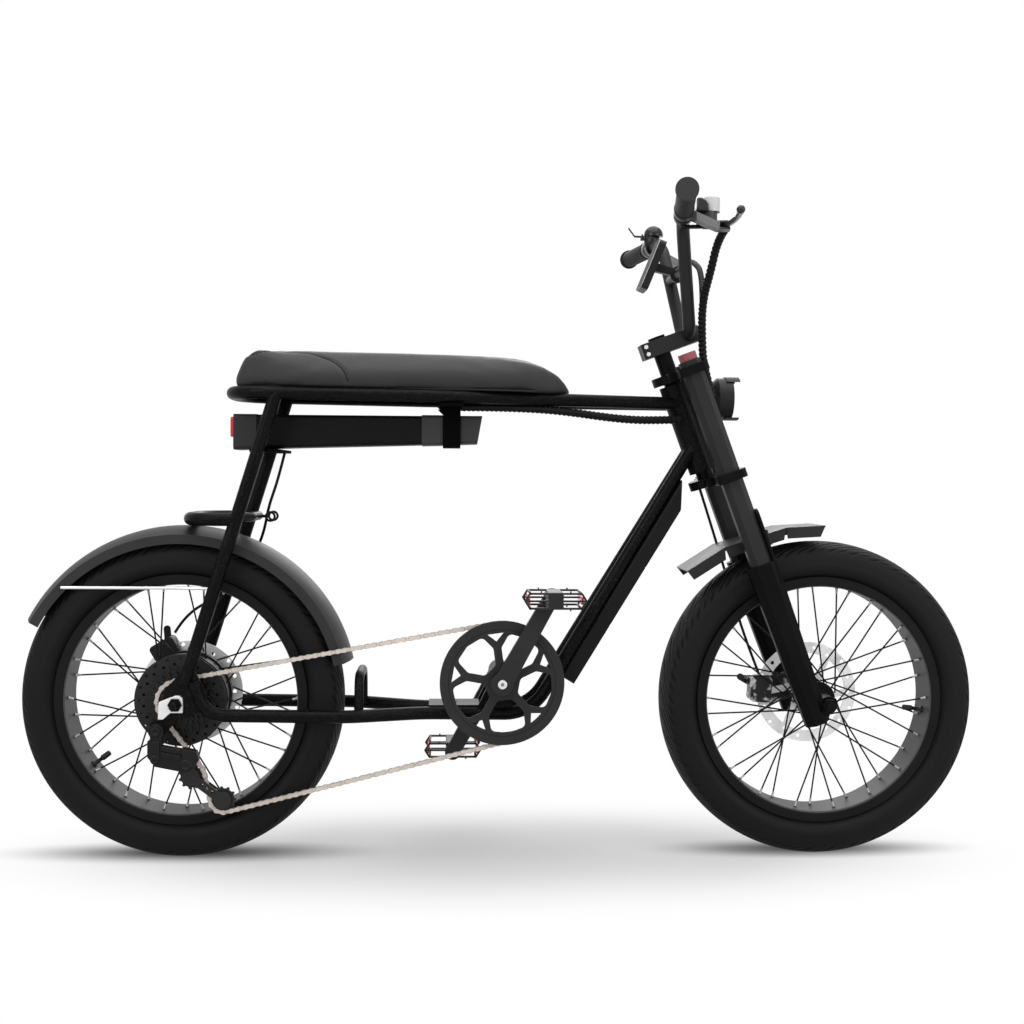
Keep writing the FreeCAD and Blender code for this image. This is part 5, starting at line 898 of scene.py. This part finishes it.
def makeLamps():
    for name, values in lampSet.items():
        data = bpy.data.lights.new(name, "AREA")
        data.shape = "SQUARE"
        data.size = values["size"]
        data.energy = values["power"]
        lamp = bpy.data.objects.new(name, data)
        bpy.context.collection.objects.link(lamp)
        place = Vector(values["place"])
        aim = Vector(values["aim"]) - place
        lamp.matrix_world = Matrix.Translation(place) @ aim.to_track_quat("-Z", "Y").to_matrix().to_4x4()


makeSky()
makeFloor()
makeLamps()
print("studio set")


# shared surface effects
def newGroup(name, inputs, outputs):
    group = bpy.data.node_groups.new(name, "ShaderNodeTree")
    for label, kind, value in inputs:
        socket = group.interface.new_socket(label, in_out="INPUT", socket_type=kind)
        socket.default_value = value
    for label, kind in outputs:
        group.interface.new_socket(label, in_out="OUTPUT", socket_type=kind)
    start = group.nodes.new("NodeGroupInput")
    end = group.nodes.new("NodeGroupOutput")
    return group, start, end


def noiseOn(group, scale, detail=2):
    spot = group.nodes.new("ShaderNodeTexCoord")
    noise = group.nodes.new("ShaderNodeTexNoise")
    noise.inputs["Detail"].default_value = detail
    group.links.new(spot.outputs["Object"], noise.inputs["Vector"])
    group.links.new(scale, noise.inputs["Scale"])
    return noise.outputs["Fac"]


def grainGroup():
    group, start, end = newGroup(
        "fineGrain",
        [("Scale", "NodeSocketFloat", 800), ("Patch Scale", "NodeSocketFloat", 9)],
        [("Height", "NodeSocketFloat"), ("Patch", "NodeSocketFloat")],
    )
    group.links.new(noiseOn(group, start.outputs["Scale"], 3), end.inputs["Height"])
    group.links.new(noiseOn(group, start.outputs["Patch Scale"], 4), end.inputs["Patch"])
    return group


wearSet = {"radius": 0.0012, "breakup": 60, "samples": 4, "gain": 5.0}


def edgeGroup():
    group, start, end = newGroup(
        "edgeWear",
        [("Radius", "NodeSocketFloat", wearSet["radius"]), ("Breakup", "NodeSocketFloat", wearSet["breakup"])],
        [("Mask", "NodeSocketFloat"), ("Normal", "NodeSocketVector")],
    )
    bevel = group.nodes.new("ShaderNodeBevel")
    bevel.samples = wearSet["samples"]
    group.links.new(start.outputs["Radius"], bevel.inputs["Radius"])
    facing = group.nodes.new("ShaderNodeNewGeometry")
    level = vectorNode(group, "DOT_PRODUCT", bevel.outputs["Normal"], facing.outputs["Normal"])
    strong = mathNode(group, "MULTIPLY", mathNode(group, "SUBTRACT", 1.0, level), wearSet["gain"], clamp=True)
    broken = mathNode(group, "MULTIPLY", strong, noiseOn(group, start.outputs["Breakup"]), clamp=True)
    group.links.new(broken, end.inputs["Mask"])
    group.links.new(bevel.outputs["Normal"], end.inputs["Normal"])
    return group


def flakeGroup():
    group, start, end = newGroup(
        "paintFlake",
        [("Scale", "NodeSocketFloat", 900), ("Cut", "NodeSocketFloat", 0.68)],
        [("Mask", "NodeSocketFloat")],
    )
    fleck = noiseOn(group, start.outputs["Scale"], 1)
    group.links.new(mathNode(group, "GREATER_THAN", fleck, start.outputs["Cut"]), end.inputs["Mask"])
    return group


# a mask between Low and High, along an axis or round a wheel's centre
def maskGroup(name, label, vector, measure):
    group, start, end = newGroup(
        name,
        [(label, "NodeSocketVector", vector), ("Low", "NodeSocketFloat", 0), ("High", "NodeSocketFloat", 1)],
        [("Mask", "NodeSocketFloat")],
    )
    spot = group.nodes.new("ShaderNodeTexCoord")
    value = measure(group, spot.outputs["Object"], start.outputs[label])
    above = mathNode(group, "GREATER_THAN", value, start.outputs["Low"])
    below = mathNode(group, "LESS_THAN", value, start.outputs["High"])
    group.links.new(mathNode(group, "MULTIPLY", above, below), end.inputs["Mask"])
    return group


def alongAxis(group, spot, axis):
    return vectorNode(group, "DOT_PRODUCT", spot, axis)


def roundCentre(group, spot, centre):
    away = vectorNode(group, "SUBTRACT", spot, centre)
    return vectorNode(group, "LENGTH", vectorNode(group, "MULTIPLY", away, (1, 0, 1)))


fineGrain = grainGroup()
edgeWear = edgeGroup()
paintFlake = flakeGroup()
bandMask = maskGroup("bandMask", "Axis", (1, 0, 0), alongAxis)
ringMask = maskGroup("ringMask", "Centre", (0, 0, 0), roundCentre)


def place(tree, group, **values):
    node = tree.nodes.new("ShaderNodeGroup")
    node.node_tree = group
    for label, value in values.items():
        node.inputs[label.replace("_", " ")].default_value = value
    return node


def grey(value):
    return (value, value, value, 1)


# tones, span of roughness, shine, grain's scale and depth, and the tone of worn edges
def coat(dark, light, rough, shine, grain, depth, wear, **more):
    return dict(more, dark=dark, light=light, rough=rough, shine=shine, grain=grain, depth=depth, wear=wear)


# another tone, roughness and metal share where all the bands and the ring meet
def patchOf(tone, rough, metal, *bands, ring=None):
    return {"colour": grey(tone), "rough": rough, "metal": metal, "bands": bands, "ring": ring}


silver = (0.72, 0.3, 0.8)
frontAxle = (0.55, 0, 0.275)
rearAxle = (-0.55, 0, 0.275)
crankAxle = (-0.004, 0, 0.309)
acrossY = (0, 1, 0)
alongX = (1, 0, 0)
upZ = (0, 0, 1)
displayAxis = (0.9272, 0, -0.3746)
rightBar = (0.13878, 0.98993, -0.02776)
leftBar = (-0.13878, 0.98993, 0.02776)

finishSet = {
    "framePaint": coat(0.0015, 0.003, (0.3, 0.42), 0.06, 700, 0.08, 0.012, flake=0.05),
    "cradlePaint": coat(0.0015, 0.003, (0.8, 0.9), 0.02, 700, 0.08, 0.006),
    "tabSteel": coat(0.68, 0.76, (0.3, 0.4), 0.4, 900, 0.03, 0.8, metal=0.5),
    "bridgePaint": coat(0.0015, 0.003, (0.3, 0.42), 0.06, 700, 0.08, 0.012, flake=0.05, patches=[
        patchOf(0.018, 0.4, 0.2, (alongX, -0.135, -0.03), (acrossY, -0.2, -0.018), (upZ, 0.2, 0.27)),
    ]),
    "forkBlack": coat(0.002, 0.004, (0.34, 0.46), 0.06, 500, 0.04, 0.015),
    "forkSatin": coat(0.012, 0.017, (0.4, 0.5), 0.18, 500, 0.04, 0.05),
    "stemSatin": coat(0.012, 0.017, (0.4, 0.5), 0.18, 500, 0.04, 0.05, patches=[
        patchOf(*silver, (acrossY, -0.2, -0.0262)),
    ]),
    "batteryShell": coat(0.002, 0.004, (0.45, 0.58), 0.1, 900, 0.12, 0.015, patches=[
        patchOf(0.03, 0.5, 0, (alongX, -0.6, -0.423)),
        patchOf(0.038, 0.5, 0, (alongX, -0.143, -0.107)),
        patchOf(0.034, 0.5, 0, (alongX, -0.077, 0.2)),
    ]),
    "casePlastic": coat(0.003, 0.006, (0.45, 0.58), 0.12, 900, 0.12, 0.015),
    "lampPlastic": coat(0.008, 0.013, (0.42, 0.52), 0.18, 900, 0.08, 0.03),
    "bellGloss": coat(0.006, 0.01, (0.16, 0.24), 0.25, 600, 0.02, 0.03),
    "displayShell": coat(0.01, 0.015, (0.36, 0.46), 0.15, 900, 0.05, 0.06, patches=[
        # painted highlight: the thin pale line along the screen's edge stands in for light reflected off the glass
        patchOf(0.4, 0.4, 0, (displayAxis, -0.1559, -0.1546)),
        patchOf(0.006, 0.7, 0, (displayAxis, -0.2, -0.1559)),
    ]),
    "guardPaint": coat(0.012, 0.018, (0.42, 0.52), 0.18, 600, 0.06, 0.04),
    "rearGuardPaint": coat(0.016, 0.024, (0.42, 0.52), 0.2, 600, 0.06, 0.04, patches=[
        patchOf(*silver, (acrossY, -0.2, -0.0553)),
        patchOf(*silver, (acrossY, 0.0553, 0.2)),
    ]),
    "crankAlloy": coat(0.014, 0.02, (0.4, 0.5), 0.18, 500, 0.05, 0.06, patches=[
        patchOf(*silver, (acrossY, -0.2, -0.0892), ring=(crankAxle, 0, 0.009)),
        patchOf(*silver, (acrossY, 0.0892, 0.2), ring=(crankAxle, 0, 0.009)),
        patchOf(0.2, 0.4, 0.6, (acrossY, -0.2, -0.0892), ring=(crankAxle, 0, 0.003)),
    ]),
    "ringAlloy": coat(0.014, 0.02, (0.4, 0.5), 0.18, 500, 0.05, 0.06, patches=[
        # painted shade: a thin dark ring stands in for the shadow at the step between the guard and the chainring
        patchOf(0.005, 0.5, 0, ring=(crankAxle, 0.09, 0.0915)),
    ]),
    "shiftAlloy": coat(0.005, 0.009, (0.38, 0.48), 0.15, 500, 0.05, 0.06),
    "cageAlloy": coat(0.013, 0.021, (0.38, 0.48), 0.2, 500, 0.05, 0.06),
    "pedalAlloy": coat(0.006, 0.012, (0.36, 0.46), 0.25, 500, 0.05, 0.08),
    "bracketAlloy": coat(0.02, 0.03, (0.34, 0.46), 0.4, 600, 0.04, 0.2, patches=[
        patchOf(0.16, 0.42, 0, (alongX, 0.297, 0.333)),
    ]),
    "leverAlloy": coat(0.008, 0.014, (0.22, 0.32), 0.35, 600, 0.03, 0.06),
    "shifterShell": coat(0.02, 0.03, (0.36, 0.46), 0.3, 600, 0.04, 0.06, patches=[
        patchOf(0.5, 0.45, 0, (alongX, 0.3005, 0.5), (upZ, 1.0915, 1.3)),
    ]),
    "caliperMix": coat(0.015, 0.6, (0.3, 0.45), 0.4, 500, 0.04, 0.5, metal=0.4, patchScale=45, contrast=(0.52, 0.6)),
    "caliperDark": coat(0.008, 0.014, (0.34, 0.46), 0.15, 500, 0.04, 0.04),
    "discSteel": coat(0.86, 0.92, (0.3, 0.42), 0.5, 900, 0.04, 0.95, metal=0.6),
    "chainSteel": coat((0.46, 0.41, 0.37), (0.58, 0.52, 0.47), (0.4, 0.55), 0.3, 700, 0.05, (0.1, 0.09, 0.08)),
    "cogSteel": coat(0.005, 0.014, (0.3, 0.45), 0.3, 700, 0.05, 0.06, metal=0.5),
    "spokeSteel": coat(0.003, 0.005, (0.35, 0.45), 0.12, 900, 0.02, 0.01),
    "frontRimPaint": coat(0.004, 0.007, (0.38, 0.48), 0.1, 700, 0.04, 0.015, patches=[
        patchOf(0.06, 0.45, 0.1, ring=(frontAxle, 0, 0.1985)),
    ]),
    "rearRimPaint": coat(0.004, 0.007, (0.38, 0.48), 0.1, 700, 0.04, 0.015, patches=[
        patchOf(0.06, 0.45, 0.1, ring=(rearAxle, 0, 0.1985)),
    ]),
    "hubPaint": coat(0.002, 0.004, (0.4, 0.5), 0.08, 600, 0.05, 0.015),
    "motorPaint": coat(0.004, 0.007, (0.36, 0.48), 0.12, 600, 0.05, 0.015, patches=[
        patchOf(0.017, 0.45, 0, (acrossY, -0.1, -0.03)),
    ]),
    "gripRubber": coat(0.011, 0.018, (0.6, 0.75), 0.15, 260, 0.5, 0.03, patches=[
        patchOf(0.03, 0.6, 0, (rightBar, -0.4, -0.3185)),
        patchOf(0.03, 0.6, 0, (leftBar, 0.3185, 0.4)),
        patchOf(0.003, 0.6, 0, (rightBar, -0.3185, -0.3155)),
        patchOf(0.003, 0.6, 0, (leftBar, 0.3155, 0.3185)),
    ]),
    # the tyres' crown is made paler: partly dust, partly a painted sheen
    "frontTyreRubber": coat(0.0045, 0.0065, (0.55, 0.68), 0.12, 1100, 0.15, 0.008, dust=frontAxle),
    "rearTyreRubber": coat(0.0045, 0.0065, (0.55, 0.68), 0.12, 1100, 0.15, 0.008, dust=rearAxle),
    "valveRubber": coat(0.005, 0.009, (0.5, 0.6), 0.3, 900, 0.1, 0.02),
    "cableCover": coat(0.002, 0.004, (0.42, 0.55), 0.12, 900, 0.1, 0.01),
    "nippleSteel": coat(0.3, 0.4, (0.25, 0.35), 0.5, 900, 0.02, 0.45, metal=0.6),
    "knobRed": coat((0.2, 0.042, 0.048), (0.27, 0.065, 0.07), (0.35, 0.5), 0.4, 700, 0.05, 0.3),
    "redLens": coat((0.65, 0.01, 0.012), (0.8, 0.02, 0.02), (0.12, 0.2), 0.5, 300, 0.03, 0.4),
    "seatBoard": coat(0.005, 0.008, (0.5, 0.62), 0.25, 600, 0.15, 0.02),
    "seatThread": coat(0.006, 0.01, (0.6, 0.7), 0.2, 1500, 0.2, 0.02),
}


def asColour(value):
    return grey(value) if isinstance(value, (int, float)) else (*value, 1)


def patchMask(tree, patch):
    masks = []
    for axis, low, high in patch["bands"]:
        masks.append(place(tree, bandMask, Axis=axis, Low=low, High=high).outputs["Mask"])
    if patch["ring"]:
        centre, low, high = patch["ring"]
        masks.append(place(tree, ringMask, Centre=centre, Low=low, High=high).outputs["Mask"])
    mask = masks[0]
    for other in masks[1:]:
        mask = mathNode(tree, "MULTIPLY", mask, other)
    return mask


# span of the broad grain, its scale, how far the bump reaches, and the dust and painted sheen on the tread
surfaceSet = {"span": (0.3, 0.7), "patchScale": 9, "bump": 0.0008, "dustFrom": 0.2635, "dustTo": 0.4,
              "dustShare": (0.05, 0.3), "dust": 0.035}


def addBump(tree, height, strength, distance=None):
    bump = tree.nodes.new("ShaderNodeBump")
    bump.inputs["Strength"].default_value = strength
    if distance:
        bump.inputs["Distance"].default_value = distance
    tree.links.new(height, bump.inputs["Height"])
    tree.links.new(bump.outputs["Normal"], tree.nodes["Principled BSDF"].inputs["Normal"])
    return bump


def dusted(tree, tone, grain, centre):
    # the tread's crown made paler, broken by the grain: partly dust, partly a painted sheen
    values = surfaceSet
    crown = place(tree, ringMask, Centre=centre, Low=values["dustFrom"], High=values["dustTo"]).outputs["Mask"]
    share = rangeNode(tree, grain.outputs["Patch"], *values["span"], *values["dustShare"])
    return mixNode(tree, "RGBA", mathNode(tree, "MULTIPLY", crown, share), tone, grey(values["dust"]))


def makeFinish(name):
    values = finishSet[name]
    material, tree = newMaterial(name)
    shader = tree.nodes["Principled BSDF"]
    shader.inputs["Specular IOR Level"].default_value = values["shine"]
    metal = values.get("metal", 0)
    shader.inputs["Metallic"].default_value = metal
    patchScale = values.get("patchScale", surfaceSet["patchScale"])
    grain = place(tree, fineGrain, Scale=values["grain"], Patch_Scale=patchScale)
    edge = place(tree, edgeWear)
    low, high = values.get("contrast", surfaceSet["span"])
    tone = mixNode(tree, "RGBA", rangeNode(tree, grain.outputs["Patch"], low, high, 0, 1), asColour(values["dark"]),
                   asColour(values["light"]))
    if "flake" in values:
        tone = mixNode(tree, "RGBA", place(tree, paintFlake).outputs["Mask"], tone, grey(values["flake"]))
    # tyres: a paler crown, partly dust and partly a painted sheen
    if "dust" in values:
        tone = dusted(tree, tone, grain, values["dust"])
    tone = mixNode(tree, "RGBA", edge.outputs["Mask"], tone, asColour(values["wear"]))
    rough = rangeNode(tree, grain.outputs["Patch"], *surfaceSet["span"], *values["rough"])
    for patch in values.get("patches", ()):
        mask = patchMask(tree, patch)
        tone = mixNode(tree, "RGBA", mask, tone, patch["colour"])
        rough = mixNode(tree, "FLOAT", mask, rough, patch["rough"])
        if patch["metal"] or not isinstance(metal, (int, float)):
            metal = mixNode(tree, "FLOAT", mask, metal, patch["metal"])
    if not isinstance(metal, (int, float)):
        tree.links.new(metal, shader.inputs["Metallic"])
    tree.links.new(tone, shader.inputs["Base Color"])
    tree.links.new(rough, shader.inputs["Roughness"])
    bump = addBump(tree, grain.outputs["Height"], values["depth"], surfaceSet["bump"])
    tree.links.new(edge.outputs["Normal"], bump.inputs["Normal"])
    return material


finishes = {name: makeFinish(name) for name in finishSet}

leatherSet = {"dark": grey(0.013), "light": grey(0.021), "crease": grey(0.008), "cells": 620, "depth": 0.3,
              "rough": (0.42, 0.56), "shine": 0.25, "sheen": 0.03, "sheenRough": 0.4, "grain": 1400, "patchScale": 7,
              "creaseTo": 0.12, "creaseShare": 0.6, "cellTo": 0.3, "grainShare": 0.3, "bump": 0.0006}


def makeLeather():
    material, tree = newMaterial("seatLeather")
    shader = tree.nodes["Principled BSDF"]
    shader.inputs["Specular IOR Level"].default_value = leatherSet["shine"]
    shader.inputs["Sheen Weight"].default_value = leatherSet["sheen"]
    shader.inputs["Sheen Roughness"].default_value = leatherSet["sheenRough"]
    grain = place(tree, fineGrain, Scale=leatherSet["grain"], Patch_Scale=leatherSet["patchScale"])
    spot = tree.nodes.new("ShaderNodeTexCoord")
    cells = tree.nodes.new("ShaderNodeTexVoronoi")
    cells.feature = "DISTANCE_TO_EDGE"
    cells.inputs["Scale"].default_value = leatherSet["cells"]
    tree.links.new(spot.outputs["Object"], cells.inputs["Vector"])
    crease = rangeNode(tree, cells.outputs["Distance"], 0, leatherSet["creaseTo"], 1, 0)
    tone = mixNode(tree, "RGBA", grain.outputs["Patch"], leatherSet["dark"], leatherSet["light"])
    creased = mathNode(tree, "MULTIPLY", crease, leatherSet["creaseShare"])
    tone = mixNode(tree, "RGBA", creased, tone, leatherSet["crease"])
    tree.links.new(tone, shader.inputs["Base Color"])
    rough = rangeNode(tree, grain.outputs["Patch"], *surfaceSet["span"], *leatherSet["rough"])
    tree.links.new(rough, shader.inputs["Roughness"])
    height = mathNode(tree, "ADD", rangeNode(tree, cells.outputs["Distance"], 0, leatherSet["cellTo"], 0, 1),
                      mathNode(tree, "MULTIPLY", grain.outputs["Height"], leatherSet["grainShare"]))
    addBump(tree, height, leatherSet["depth"], leatherSet["bump"])
    return material


glassSet = {"colour": (0.9, 0.93, 0.96, 1), "rough": 0.08, "clear": 0.85, "grain": 120, "depth": 0.1}


def makeGlass():
    material, tree = newMaterial("lampGlass")
    shader = tree.nodes["Principled BSDF"]
    shader.inputs["Base Color"].default_value = glassSet["colour"]
    shader.inputs["Roughness"].default_value = glassSet["rough"]
    shader.inputs["Transmission Weight"].default_value = glassSet["clear"]
    grain = place(tree, fineGrain, Scale=glassSet["grain"])
    addBump(tree, grain.outputs["Height"], glassSet["depth"])
    return material


finishes["seatLeather"] = makeLeather()
finishes["lampGlass"] = makeGlass()

nodeFinish = {
    "framePaint": "head_tube top_rail_loop lower_tubes bottom_bracket_shell seat_stays",
    "cradlePaint": "battery_cradle",
    "bridgePaint": "frame_bridges",
    "forkBlack": "fork_crowns fork_sliders headset_bearings",
    "forkSatin": "fork_upper_legs handlebar",
    "stemSatin": "stem",
    "batteryShell": "battery_case",
    "casePlastic": "controller_box shift_lever",
    "lampPlastic": "headlight_housing",
    "bellGloss": "bell bell_striker",
    "displayShell": "display",
    "guardPaint": "front_fender",
    "rearGuardPaint": "rear_fender",
    "crankAlloy": "crank_set",
    "ringAlloy": "chainring",
    "shiftAlloy": "derailleur_body",
    "cageAlloy": "derailleur_cage guide_pulley tension_pulley",
    "pedalAlloy": "pedal_right pedal_left",
    "bracketAlloy": "lever_brackets",
    "leverAlloy": "brake_lever_right brake_lever_left",
    "shifterShell": "shifter_body",
    "caliperMix": "front_brake_caliper front_brake_arm",
    "caliperDark": "rear_brake_caliper rear_brake_arm",
    "discSteel": "front_rotor rear_rotor",
    "chainSteel": "chain",
    "cogSteel": "cassette",
    "spokeSteel": "front_spokes rear_spokes",
    "frontRimPaint": "front_rim",
    "rearRimPaint": "rear_rim",
    "hubPaint": "front_hub front_axle rear_axle",
    "motorPaint": "motor_hub",
    "gripRubber": "grips",
    "frontTyreRubber": "front_tyre",
    "rearTyreRubber": "rear_tyre",
    "cableCover": "frame_cable_loom bar_cable_loom",
    "knobRed": "preload_knob",
    "redLens": "tail_light_lens",
    "lampGlass": "headlight_lens",
    "seatBoard": "seat_base",
    "seatLeather": "seat_pad",
}


def putFinish(mesh, finish):
    mesh.materials.clear()
    mesh.materials.append(finishes[finish])


for finish, names in nodeFinish.items():
    for name in names.split():
        putFinish(nodes[name].data, finish)

pieceFinish = [(tyres["front"], "frontTyreRubber"), (tyres["rear"], "rearTyreRubber")]
for pieces, finish in ((cables, "cableCover"), (nipples, "nippleSteel"), (valves, "valveRubber"),
                       (levers, "leverAlloy"), (pulleys, "cageAlloy")):
    pieceFinish += [(piece, finish) for piece in pieces.values()]
for cage, lens in pedals.values():
    pieceFinish += [(cage, "pedalAlloy"), (lens, "redLens")]
pieceFinish += [(benchSeat, "seatLeather"), (seatSeam, "seatThread"), (gearCover, "shiftAlloy")]
pieceFinish += [(bellSkirt, "bellGloss"), (shifterPod, "leverAlloy"), (axleTab, "tabSteel")]
for piece, finish in pieceFinish:
    putFinish(piece.data, finish)
print("finishes placed")
